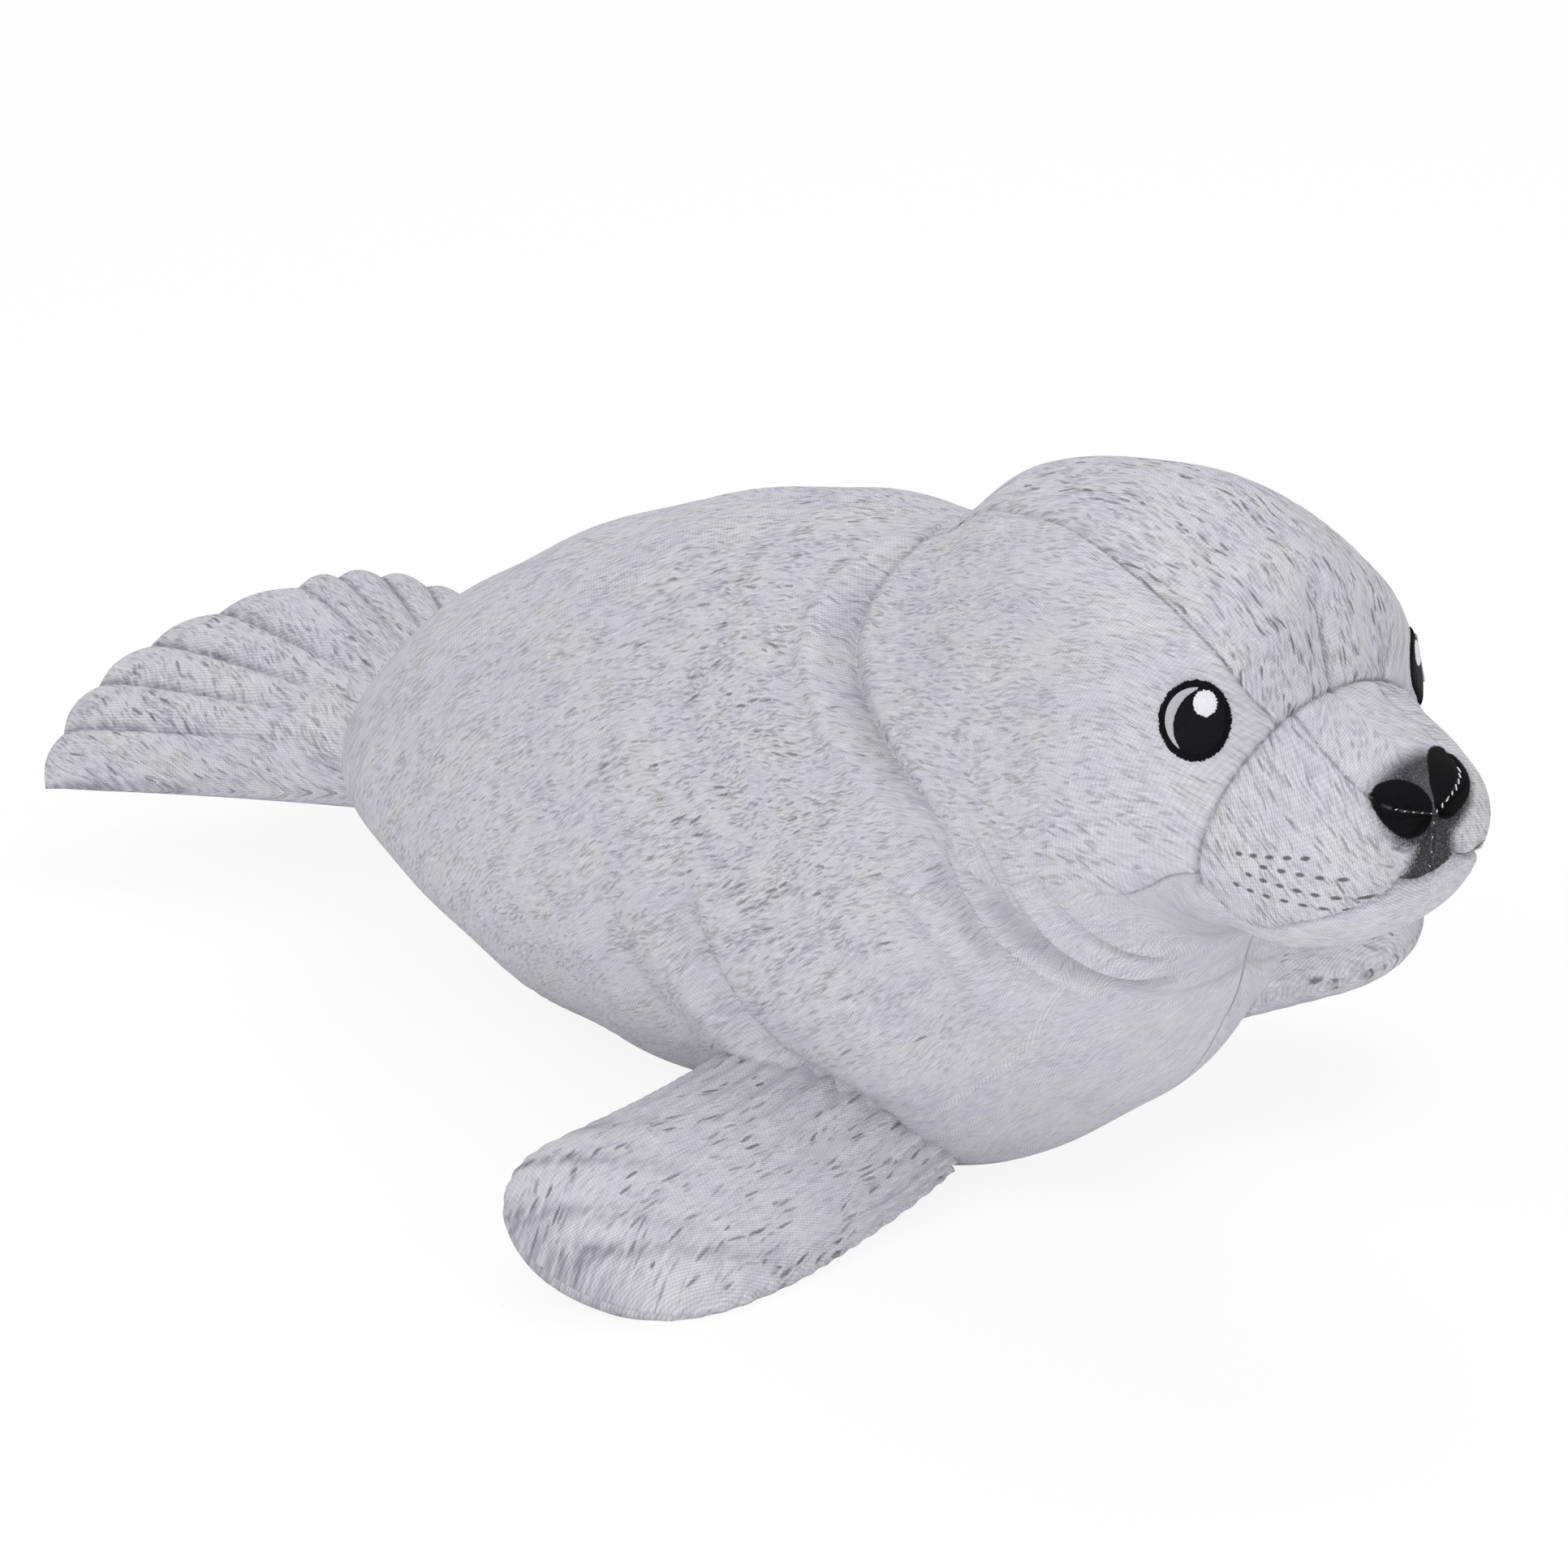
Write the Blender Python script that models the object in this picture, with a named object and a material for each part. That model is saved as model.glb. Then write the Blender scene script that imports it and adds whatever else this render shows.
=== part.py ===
"""Stuffed plush seal: printed knit panels sewn over soft filling, lying on its belly.

The nose points along +X, up is +Z, and the floor is the plane z = 0 under the belly.
The body is one closed skin, carried between a spine rail and a belly rail. Every
sewn panel is a region of that skin, given the thickness of its fabric.
"""
import bpy
import copy
import math
import numpy as np
from mathutils import Matrix, Vector
from mathutils.bvhtree import BVHTree

# Fabric, seams and clearances, in metres
FABRIC = 0.0012            # thickness of the printed knit
SEAM_GAP = 0.0003          # from one panel's cut edge to the next
CLEARANCE = 0.0003         # between pieces that rest on each other
DART_LENGTH = 0.55         # stations of the short dart above the nose bridge
MITRE_LIMIT = 0.15         # sharper corners than this keep their place

# Eyes, embroidered on the cheeks
EYE_WIDTH = 0.0198
EYE_HEIGHT = 0.0222
EYE_THICKNESS = 0.0008
# Station of each eye, and its angle from the top of the head in degrees. The left eye sits lower.
RIGHT_EYE = (9.32, 58.5)
LEFT_EYE = (9.45, 68.0)
HIGHLIGHT_RADIUS = 0.0039
HIGHLIGHT_FORWARD = 0.0030
HIGHLIGHT_UP = 0.0054
CRESCENT_WIDTH = 0.0022
CRESCENT_REACH = 0.82      # outer edge, as a share of the eye's own radius
CRESCENT_START = 88.0      # degrees round from the front of the eye
CRESCENT_SWEEP = 142.0
THREAD_THICKNESS = 0.0005

# Nose: a dark field and two black nostrils, printed on the end of the muzzle. Nostrils
# are placed sideways and upward from the tip of the nose.
PRINT_THICKNESS = 0.0004
NOSTRIL_SIDE = 0.0112
NOSTRIL_RISE = 0.0030
NOSTRIL_WIDTH = 0.0176
NOSTRIL_HEIGHT = 0.0132
NOSTRIL_TILT = 20.0        # degrees, the outer end up

# Patches of thread and print, dropped onto the cloth
PATCH_CORE = 0.6           # inner loop of a wide patch, as a share of its outline
PATCH_STEPS = 16
SMALL_PATCH_STEPS = 12
PATCH_LIFT = 0.0007        # patches bridge the facets of the rounded cloth
DROP_HEIGHT = 0.03         # they are dropped from this far off

# Front flippers: one sewn shape, posed differently on each side
FLIPPER_ROOT_X = 0.048
FLIPPER_ROOT_Y = 0.036
FLIPPER_LENGTH = 0.129
FLIPPER_ROOT_HALF_WIDTH = 0.0355
FLIPPER_TIP_HALF_WIDTH = 0.039
FLIPPER_ROOT_HALF_HEIGHT = 0.018
FLIPPER_TIP_HALF_HEIGHT = 0.0155
FLIPPER_WIDENING_SHARE = 0.6    # of the length, where it reaches its full width
FLIPPER_TIP_ROUNDNESS = 2.2
FLIPPER_TIP_FULLNESS = 0.8
RIGHT_FLIPPER = dict(side=-1, height=0.025, sweep=-7.0, drop=8.4, curl=-0.019, roll=-23.0)
LEFT_FLIPPER = dict(side=1, height=0.037, sweep=-33.0, drop=-5.0, curl=-0.015, roll=0.0)

# Hind fan: two lobes of toes from one pair of sheets, lying a little askew
FAN_ROOT_DEPTH = 0.026        # how far its root reaches into the rump
FAN_ROOT_RISE = 0.001         # above the tip of the rump
FAN_ROOT_HALF_WIDTH = 0.025
FAN_ROOT_CROWN = 0.009
FAN_TIP_BACK = 0.107
FAN_TIP_SIDE = 0.098
FAN_TIP_RISE = -0.014
FAN_NOTCH_BACK = 0.097
FAN_NOTCH_RISE = 0.034
FAN_BULGE = 0.023
FAN_ROLL = 2.6                # degrees, the right lobe down
FAN_SWING = -9.0              # degrees, the whole fan swung to the left
FAN_HALF_HEIGHT = 0.011
FAN_ROOT_FULLNESS = 1.25      # root height as a share of the height near the edge
FAN_BULGE_WAY = (-0.93, 0.35, 0.10)
FAN_SIDE_ROUNDNESS = 5
FAN_END_ROUNDNESS = 6
TOES_PER_LOBE = 5
TOE_VALLEY = 0.32          # share of the height that is lost between two toes
TOE_SCALLOP = 0.0026
VALLEY_START = 0.2         # a valley starts and is deepest at these shares of the way to the edge
VALLEY_FULL = 0.85

# Fineness of the flipper and fan grids
FLIPPER_AROUND = 16
FLIPPER_ROW_SHARES = (0.0, 0.2, 0.4, 0.58, 0.72, 0.84, 0.93, 0.985)
FAN_ROW_SHARES = (0.0, 0.3, 0.55, 0.75, 0.9, 1.0)
TOE_POINTS = 3

# Stations from rump to nose: spine x, spine z, belly x, belly z, half width
STATIONS = (
    (-0.206, 0.046, -0.206, 0.046, 0.000),
    (-0.199, 0.075, -0.184, 0.033, 0.037),
    (-0.169, 0.114, -0.142, 0.015, 0.058),
    (-0.117, 0.149, -0.078, 0.000, 0.074),
    (-0.057, 0.178, -0.008, -0.004, 0.080),
    (0.002, 0.196, 0.070, -0.002, 0.076),
    (0.050, 0.202, 0.133, 0.041, 0.061),
    (0.081, 0.225, 0.160, 0.079, 0.059),
    (0.131, 0.237, 0.167, 0.103, 0.062),
    (0.180, 0.224, 0.171, 0.112, 0.057),
    (0.197, 0.193, 0.180, 0.117, 0.049),
    (0.213, 0.182, 0.205, 0.118, 0.044),
    (0.227, 0.175, 0.230, 0.134, 0.029),
    (0.233, 0.165, 0.233, 0.165, 0.000),
)
NOSE_STATION = len(STATIONS) - 1.0
NECK_STATION = 6.5
MUZZLE_STATION = NOSE_STATION - 3.0
MOUTH_STATION = NOSE_STATION - 0.6
EGG_SKEW = 0.04            # makes each section a little fuller below its middle

# Station of the neck seam at 0, 45, 90, 135 and 180 degrees from the spine
NECK_COURSE = (6.05, 5.65, 6.35, 7.1, 7.8)
NECK_REACH = 3.2           # stations over which the neighbouring rings follow the neck


def spread(start, end, shares):
    """Stations at shares of the way from one to another."""
    return tuple(start + (end - start) * share for share in shares)


# Angles from the spine, in degrees, of the grid lines that carry seams
SEAM_LINES = (0, 3, 4, 10, 11, 12, 16)
SEAM_STATIONS = (
    spread(0.0, NECK_STATION, (0.0, 0.77))
    + spread(NECK_STATION, MUZZLE_STATION, (0.0, 0.2, 0.4, 0.57, 0.76, 0.86))
    + spread(MUZZLE_STATION, MOUTH_STATION, (0.0, 0.29, 0.58, 0.88))
    + (MOUTH_STATION, NOSE_STATION)
)
SEAM_ANGLES = (
    (0, 34, 45, 112, 124, 138, 180),
    (0, 30, 40, 108, 122, 138, 180),
    (0, 9, 13, 90, 109, 130, 180),
    (0, 12, 17, 115, 127, 140, 180),
    (0, 20, 27, 126, 136, 146, 180),
    (0, 26, 36, 125, 134, 144, 180),
    (0, 30, 41, 119, 127, 139, 180),
    (0, 28, 38, 114, 121, 135, 180),
    (0, 22, 30, 107, 114, 130, 180),
    (0, 24, 33, 117, 127, 139, 180),
    (0, 29, 38, 111, 120, 134, 180),
    (0, 36, 46, 114, 126, 140, 180),
    (0, 38, 48, 124, 140, 149, 180),
    (0, 40, 52, 112, 124, 138, 180),
)
HALF_AROUND = 16
GUSSET_LINE = 4
BRIDGE_LINE = 3
CHEEK_LINE = 10
MOUTH_LINE = 11
BELLY_LINE = 12
NOSE_FIELD = (-1, -1, -1, -1, -1, 0, 0, 1, 1, 1, 1, 1, 1, 0, 0, 0)    # first ring past the mouth
RING_STATIONS = (
    spread(0.0, NECK_STATION, (0.0, 0.08, 0.15, 0.25, 0.35, 0.46, 0.57, 0.66, 0.715, 0.785, 0.845,
                               0.89, 0.94, 0.977))
    + spread(NECK_STATION, MUZZLE_STATION, (0.0, 0.04, 0.13, 0.26, 0.4, 0.54, 0.69))
    + (MUZZLE_STATION - DART_LENGTH,)
    + spread(MUZZLE_STATION, MOUTH_STATION, (0.0, 0.2, 0.4, 0.6, 0.82))
    + spread(MOUTH_STATION, NOSE_STATION, (0.0, 0.5, 1.0))
)

# Folds: stations from the neck seam and angle where each starts and ends, its width in
# stations, and how far it stands out of the skin, in metres (a valley is negative)
FOLDS = (
    (0.00, 8, 0.00, 100, 0.13, -0.0050),
    (-0.35, 15, -0.35, 90, 0.16, 0.0022),
    (0.00, 80, 0.00, 165, 0.12, -0.0042),
    (0.40, 95, 0.40, 165, 0.20, 0.0025),
    (-0.38, 78, -0.55, 135, 0.13, 0.0032),
    (-0.90, 80, -0.78, 135, 0.14, -0.0028),
    (-1.85, 88, -1.85, 138, 0.20, -0.0026),
)

# Colours of the print and the threads, as linear values
FUR_GREY = (0.58, 0.57, 0.62, 1.0)
THROAT_GREY = (0.62, 0.61, 0.65, 1.0)
FLIPPER_GREY = (0.50, 0.49, 0.54, 1.0)
FILLING_WHITE = (0.85, 0.85, 0.85, 1.0)
THREAD_BLACK = (0.006, 0.005, 0.008, 1.0)
THREAD_WHITE = (0.80, 0.80, 0.82, 1.0)
THREAD_SILVER = (0.45, 0.45, 0.48, 1.0)
PRINT_DARK = (0.05, 0.05, 0.055, 1.0)
PRINT_BLACK = (0.008, 0.008, 0.009, 1.0)


def clear_scene():
    """Start from an empty scene."""
    for item in list(bpy.data.objects):
        bpy.data.objects.remove(item, do_unlink=True)


def material(name, colour, roughness):
    """A plain Principled BSDF finish."""
    finish = bpy.data.materials.new(name)
    finish.use_nodes = True
    shader = finish.node_tree.nodes["Principled BSDF"]
    shader.inputs["Base Color"].default_value = colour
    shader.inputs["Roughness"].default_value = roughness
    shader.inputs["Metallic"].default_value = 0.0
    return finish


def smooth_rows(stops, rows, at):
    """Cubic curves through rows of values given at rising stops, read at many places."""
    stops = np.asarray(stops, float)
    rows = np.asarray(rows, float)
    at = np.clip(np.asarray(at, float), stops[0], stops[-1])
    slopes = np.gradient(rows, stops, axis=0)
    cell = np.clip(np.searchsorted(stops, at, side="right") - 1, 0, len(stops) - 2)
    step = (stops[cell + 1] - stops[cell])[..., None]
    f = ((at - stops[cell])[..., None]) / step
    start = (2 * f**3 - 3 * f**2 + 1) * rows[cell] + (f**3 - 2 * f**2 + f) * step * slopes[cell]
    return start + (3 * f**2 - 2 * f**3) * rows[cell + 1] + (f**3 - f**2) * step * slopes[cell + 1]


def hat(x):
    """A smooth bump: 1 at zero, falling to 0 at plus or minus 1."""
    x = np.clip(np.abs(x), 0.0, 1.0)
    return 1 - x * x * (3 - 2 * x)


def neck_shift(nominal, angle):
    """How far a ring leaves its even station so that the neck ring lies in the neck seam."""
    course = smooth_rows((0, 45, 90, 135, 180), np.array(NECK_COURSE)[:, None], np.degrees(np.abs(angle)))
    return (course[..., 0] - NECK_STATION) * hat((nominal - NECK_STATION) / NECK_REACH)


def loft(station, angle):
    """Point of the smooth skin: an ellipse hung between the spine rail and the belly rail."""
    rails = smooth_rows(range(len(STATIONS)), STATIONS, station)
    spine_x, spine_z, belly_x, belly_z, half_width = np.moveaxis(rails, -1, 0)
    across = np.cos(angle)
    x = (spine_x + belly_x) / 2 + (spine_x - belly_x) / 2 * across
    z = (spine_z + belly_z) / 2 + (spine_z - belly_z) / 2 * across
    y = -half_width * np.sin(angle) * (1 - EGG_SKEW * across)
    return np.stack([x, y, z], -1)


def fold_height(nominal, angle):
    """Sum of the folds at a point of the skin."""
    degrees = np.degrees(np.abs(angle))
    total = np.zeros(np.broadcast(nominal, angle).shape)
    for start, first, end, last, width, height in FOLDS:
        along = np.clip((degrees - first) / (last - first), 0.0, 1.0)
        centre = NECK_STATION + start + (end - start) * along
        total = total + height * hat(2 * along - 1)**0.5 * np.exp(-((nominal - centre) / width)**2)
    return total


def skin_point(nominal, angle):
    """Point of the seal's outer skin, with its folds, resting flat on the floor."""
    def shape(place, turn):
        return loft(place + neck_shift(place, turn), turn)
    small = 1e-3
    point = shape(nominal, angle)
    along = shape(nominal + small, angle) - shape(nominal - small, angle)
    around = shape(nominal, angle + small) - shape(nominal, angle - small)
    normal = np.cross(around, along)
    normal = normal / np.maximum(np.linalg.norm(normal, axis=-1, keepdims=True), 1e-12)
    point = point + normal * fold_height(nominal, angle)[..., None]
    point[..., 2] = np.maximum(point[..., 2], 0.0)
    return point, normal


class Skin:
    """A closed sheet of points and triangles, from which panels and fillings are cut."""

    def __init__(self, points, faces, cells):
        self.points = np.asarray(points, float)
        self.faces = []
        self.cells = []
        for face, cell in zip(faces, cells):
            for triangle in self.halves(face):
                self.faces.append(triangle)
                self.cells.append(cell)
        self.normals = self.point_normals()

    def halves(self, face):
        """Cut a four-sided face along its shorter diagonal."""
        if len(face) == 3:
            return [face]
        a, b, c, d = face
        first = np.linalg.norm(self.points[a] - self.points[c])
        second = np.linalg.norm(self.points[b] - self.points[d])
        if first <= second:
            return [(a, b, c), (a, c, d)]
        return [(a, b, d), (b, c, d)]

    def point_normals(self):
        """Average the normals of the faces around each point."""
        total = np.zeros_like(self.points)
        for face in self.faces:
            a, b, c = self.points[list(face)]
            area = np.cross(b - a, c - a)
            for corner in face:
                total[corner] += area
        return total / np.maximum(np.linalg.norm(total, axis=1, keepdims=True), 1e-12)

    def offset(self, distance):
        """The points moved along their normals."""
        return self.points + self.normals * distance

    def raised(self, distance):
        """The same sheet, standing off by a distance."""
        other = copy.copy(self)
        other.points = self.offset(distance)
        return other


def add_object(name, points, faces, finish):
    """Make one object from points and faces."""
    mesh = bpy.data.meshes.new(name)
    mesh.from_pydata(np.asarray(points).tolist(), [], faces)
    mesh.update()
    mesh.shade_smooth()
    thing = bpy.data.objects.new(name, mesh)
    thing.data.materials.append(finish)
    bpy.context.scene.collection.objects.link(thing)
    return thing


def boundary_edges(faces):
    """Directed edges that only one face uses."""
    used = {(face[k], face[(k + 1) % len(face)]) for face in faces for k in range(len(face))}
    return [edge for edge in used if (edge[1], edge[0]) not in used]


def inset_edges(points, normals, edges, distance):
    """Move the cut edge of a panel inward along the cloth, with mitred corners."""
    inward = {}
    for a, b in edges:
        direction = points[b] - points[a]
        middle_normal = normals[a] + normals[b]
        side = np.cross(middle_normal, direction)
        side = side / max(np.linalg.norm(side), 1e-12)
        inward.setdefault(a, []).append(side)
        inward.setdefault(b, []).append(side)
    moved = points.copy()
    for corner, sides in inward.items():
        if len(sides) == 2 and 1 + sides[0] @ sides[1] > MITRE_LIMIT:
            moved[corner] += (sides[0] + sides[1]) * distance / (1 + sides[0] @ sides[1])
    return moved


def fabric_panel(name, skin, wanted, finish, slit=None, thickness=FABRIC):
    """Cut the wanted faces from a skin and give them the fabric's thickness, inwards.

    Both panels of a seam split their edge walls the same way, so their gap stays even.
    """
    numbers = {}
    origins = []
    faces = []
    for face, cell in zip(skin.faces, skin.cells):
        if not wanted(cell):
            continue
        corners = []
        for corner in face:
            key = (corner, bool(slit) and corner in slit and cell[1] < 0)
            if key not in numbers:
                numbers[key] = len(origins)
                origins.append(corner)
            corners.append(numbers[key])
        faces.append(tuple(corners))
    points = skin.points[origins]
    normals = skin.normals[origins]
    rim = boundary_edges(faces)
    outer = inset_edges(points, normals, rim, SEAM_GAP / 2)
    inner = outer - normals * thickness
    count = len(outer)
    inside = [tuple(corner + count for corner in reversed(face)) for face in faces]
    walls = []
    for a, b in rim:
        if origins[a] < origins[b]:
            walls += [(b, a, b + count), (a, a + count, b + count)]
        else:
            walls += [(b, a, a + count), (b, a + count, b + count)]
    return add_object(name, np.vstack([outer, inner]), faces + inside + walls, finish)


def skin_from_loops(points, numbers, labels):
    """Join loops of points, given by their numbers, with faces; repeated numbers close an end."""
    faces = []
    cells = []
    for row in range(len(numbers) - 1):
        near, far = numbers[row], numbers[row + 1]
        for k, label in enumerate(labels):
            after = (k + 1) % len(labels)
            corners = []
            for corner in (near[k], near[after], far[after], far[k]):
                if corner not in corners:
                    corners.append(corner)
            faces.append(tuple(corners))
            cells.append((row, label))
    return Skin(points, faces, cells)


def number_loops(loops):
    """Number the points of loops; a loop of one point is a pole that its whole row shares."""
    size = max(len(loop) for loop in loops)
    numbers = []
    count = 0
    for loop in loops:
        numbers.append([count] * size if len(loop) == 1 else list(range(count, count + size)))
        count += len(loop)
    return numbers


def build_body_skin():
    """The body's grid: rings from rump to nose, lines from spine to belly on both sides."""
    lines = np.arange(-HALF_AROUND + 1, HALF_AROUND + 1)
    angles = smooth_rows(SEAM_STATIONS, SEAM_ANGLES, RING_STATIONS)
    loops = []
    for place, seams in zip(RING_STATIONS, angles):
        if place in (RING_STATIONS[0], RING_STATIONS[-1]):
            loops.append(skin_point(np.array([place]), np.zeros(1))[0])
            continue
        turn = np.interp(np.abs(lines), SEAM_LINES, seams) * np.sign(lines)
        loops.append(skin_point(np.full(turn.shape, place), np.radians(turn))[0])
    numbers = number_loops(loops)
    labels = [int(line) if line < HALF_AROUND else -HALF_AROUND for line in lines]
    return skin_from_loops(np.vstack(loops), numbers, labels), numbers, lines


def ring_of(station):
    """Number of the ring that lies at a station."""
    return RING_STATIONS.index(station)


def mirrored(line):
    """Cells on the two sides of the spine share one number, counted from the spine."""
    return line if line >= 0 else -line - 1


def build_body(finishes):
    """All sewn panels of the head and body, and the filling that they hold."""
    skin, numbers, lines = build_body_skin()
    neck = ring_of(NECK_STATION)
    muzzle = ring_of(MUZZLE_STATION)
    mouth = ring_of(MOUTH_STATION)

    def on_belly(cell):
        step = mirrored(cell[1])
        if cell[0] < neck:
            return step >= BELLY_LINE
        if cell[0] < muzzle:
            return step >= CHEEK_LINE
        return cell[0] < mouth and step >= MOUTH_LINE

    def on_side(side):
        def wanted(cell):
            return cell[0] < neck and mirrored(cell[1]) < BELLY_LINE and (cell[1] >= 0) == (side < 0)
        return wanted

    def on_cheek(side):
        def wanted(cell):
            inside = GUSSET_LINE <= mirrored(cell[1]) < CHEEK_LINE
            return neck <= cell[0] < muzzle and inside and (cell[1] >= 0) == (side < 0)
        return wanted

    def on_gusset(cell):
        return neck <= cell[0] < muzzle and mirrored(cell[1]) < GUSSET_LINE

    def on_bridge(cell):
        return cell[0] >= muzzle and mirrored(cell[1]) < BRIDGE_LINE

    def on_muzzle_side(side):
        def wanted(cell):
            step = mirrored(cell[1])
            above = cell[0] >= muzzle and BRIDGE_LINE <= step
            return above and not on_belly(cell) and (cell[1] >= 0) == (side < 0)
        return wanted

    slit = {numbers[muzzle][list(lines).index(0)]}
    fabric_panel("forehead_gusset", skin, on_gusset, finishes["fur"], slit)
    fabric_panel("muzzle_bridge", skin, on_bridge, finishes["fur"])
    fabric_panel("belly_and_throat_panel", skin, on_belly, finishes["throat"])
    for side, word in ((-1, "right"), (1, "left")):
        fabric_panel("body_side_" + word, skin, on_side(side), finishes["fur"])
        fabric_panel("cheek_" + word, skin, on_cheek(side), finishes["fur"])
        fabric_panel("muzzle_side_" + word, skin, on_muzzle_side(side), finishes["fur"])
    add_object("body_filling", skin.offset(-FABRIC - CLEARANCE), skin.faces, finishes["filling"])
    cutter = add_object("body_clearance", skin.offset(CLEARANCE), skin.faces, finishes["filling"])
    cutter.hide_render = True
    cutter.display_type = "WIRE"
    return skin, cutter


class Spot:
    """A flat frame held against the skin, from which outlines are dropped onto the cloth."""

    def __init__(self, skin, centre, outward, upward):
        self.skin = skin
        self.tree = BVHTree.FromPolygons(skin.points.tolist(), skin.faces)
        self.centre = Vector(centre)
        self.outward = Vector(outward).normalized()
        self.upward = (Vector(upward) - self.outward * self.outward.dot(Vector(upward))).normalized()
        self.sideways = self.upward.cross(self.outward)

    def drop(self, aside, above):
        """Points of the cloth under places of the frame, and the cloth's smooth normals there."""
        points = []
        normals = []
        for a, b in zip(aside, above):
            start = self.centre + self.sideways * a + self.upward * b + self.outward * DROP_HEIGHT
            point, _, number, _ = self.tree.ray_cast(start, -self.outward)
            corners = list(self.skin.faces[number])
            share = np.linalg.lstsq(self.skin.points[corners].T, np.array(point), rcond=None)[0]
            normal = share @ self.skin.normals[corners]
            points.append(point)
            normals.append(normal / np.linalg.norm(normal))
        return np.array(points), np.array(normals)


def patch(name, spot, loops, lift, thickness, finish):
    """A thin closed patch on the cloth: loops from its outline inwards, closed in the middle."""
    steps = len(loops[0][0])
    bottom = []
    top = []
    for aside, above in loops:
        point, normal = spot.drop(aside, above)
        bottom.append(point + normal * lift)
        top.append(point + normal * (lift + thickness))
    faces = []
    under = len(loops) * steps
    for row in range(len(loops) - 1):
        near, far = row * steps, (row + 1) * steps
        for k in range(steps):
            n = (k + 1) % steps
            faces.append((near + k, near + n, far + n, far + k))
    last = under - steps
    for k in range(steps // 2):
        corners = (k, k + 1, steps - k - 1, (steps - k) % steps)
        faces.append(tuple(last + corner for corner in dict.fromkeys(corners)))
    faces += [tuple(corner + under for corner in reversed(face)) for face in faces]
    for k in range(steps):
        n = (k + 1) % steps
        faces.append((n, k, under + k, under + n))
    return add_object(name, np.vstack(top + bottom), faces, finish)


def oval(width, height, aside=0.0, above=0.0, tilt=0.0, share=1.0, steps=PATCH_STEPS):
    """An oval outline, or its core, as places sideways and upward."""
    angle = 2 * np.pi * np.arange(steps) / steps
    wide = width / 2 * share * np.cos(angle)
    high = height / 2 * share * np.sin(angle)
    lean = math.radians(tilt)
    return (aside + wide * math.cos(lean) - high * math.sin(lean),
            above + wide * math.sin(lean) + high * math.cos(lean))


def crescent(side):
    """A crescent that hugs the upper rear rim of the eye, as one closed outline."""
    share = np.arange(SMALL_PATCH_STEPS) / SMALL_PATCH_STEPS
    along = np.where(share > 0.5, 2 - 2 * share, 2 * share)
    angle = np.radians(CRESCENT_START + CRESCENT_SWEEP * along)
    inset = np.where(share > 0.5, CRESCENT_WIDTH * np.sin(np.pi * along), 0.0)
    ahead = (EYE_WIDTH / 2 * CRESCENT_REACH - inset) * np.cos(angle)
    above = (EYE_HEIGHT / 2 * CRESCENT_REACH - inset) * np.sin(angle)
    return faced(side, ahead, above)


def faced(side, ahead, above):
    """An outline drawn for the right side, or its mirror image for the left."""
    if side < 0:
        return ahead, above
    return -ahead[::-1], above[::-1]


def build_eyes(skin, finishes):
    """A black oval, a silver crescent and a round white highlight on each cheek."""
    lift = PATCH_LIFT
    raised = lift + EYE_THICKNESS + CLEARANCE
    for side, word, (station, angle) in ((-1, "right", RIGHT_EYE), (1, "left", LEFT_EYE)):
        centre, outward = skin_point(np.array([station]), np.array([math.radians(angle) * -side]))
        spot = Spot(skin, centre[0], outward[0], (0, 0, 1))
        loops = [oval(EYE_WIDTH, EYE_HEIGHT, share=share) for share in (1.0, PATCH_CORE)]
        patch("eye_oval_" + word, spot, loops, lift, EYE_THICKNESS, finishes["black_thread"])
        patch("eye_crescent_" + word, spot, [crescent(side)], raised, THREAD_THICKNESS,
              finishes["silver_thread"])
        dot = oval(2 * HIGHLIGHT_RADIUS, 2 * HIGHLIGHT_RADIUS, -side * HIGHLIGHT_FORWARD, HIGHLIGHT_UP,
                   steps=SMALL_PATCH_STEPS)
        patch("eye_highlight_" + word, spot, [dot], raised, THREAD_THICKNESS, finishes["white_thread"])


def build_nose(skin, finishes):
    """The dark field on the end of the muzzle, and a black nostril on each side of it."""
    mouth = ring_of(MOUTH_STATION)

    def in_field(cell):
        return cell[0] >= mouth + NOSE_FIELD[mirrored(cell[1])]

    field = skin.raised(CLEARANCE + PRINT_THICKNESS)
    fabric_panel("nose_field_print", field, in_field, finishes["dark_print"], thickness=PRINT_THICKNESS)
    nose_x, nose_z = STATIONS[-1][:2]
    spot = Spot(field, (nose_x, 0, nose_z), (1, 0, 0), (0, 0, 1))
    for side, word in ((-1, "right"), (1, "left")):
        loops = [oval(NOSTRIL_WIDTH, NOSTRIL_HEIGHT, side * NOSTRIL_SIDE, NOSTRIL_RISE, side * NOSTRIL_TILT,
                      share, SMALL_PATCH_STEPS) for share in (1.0, PATCH_CORE)]
        patch("nostril_print_" + word, spot, loops, PATCH_LIFT, PRINT_THICKNESS, finishes["black_print"])


def stuffed_pair(name, skin, is_upper, is_cap, cutter, finishes):
    """An upper and a lower sheet sewn round their edge over filling, cut where the body is."""
    def upper(cell):
        return is_upper(cell) and not is_cap(cell)

    def lower(cell):
        return not is_upper(cell) and not is_cap(cell)

    pieces = (
        fabric_panel(name + "_upper", skin, upper, finishes["flipper"]),
        fabric_panel(name + "_lower", skin, lower, finishes["flipper"]),
        add_object(name + "_filling", skin.offset(-FABRIC - CLEARANCE), skin.faces, finishes["filling"]),
    )
    for piece in pieces:
        cut = piece.modifiers.new("seat_on_body", "BOOLEAN")
        cut.operation = "DIFFERENCE"
        cut.solver = "EXACT"
        cut.object = cutter


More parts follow.
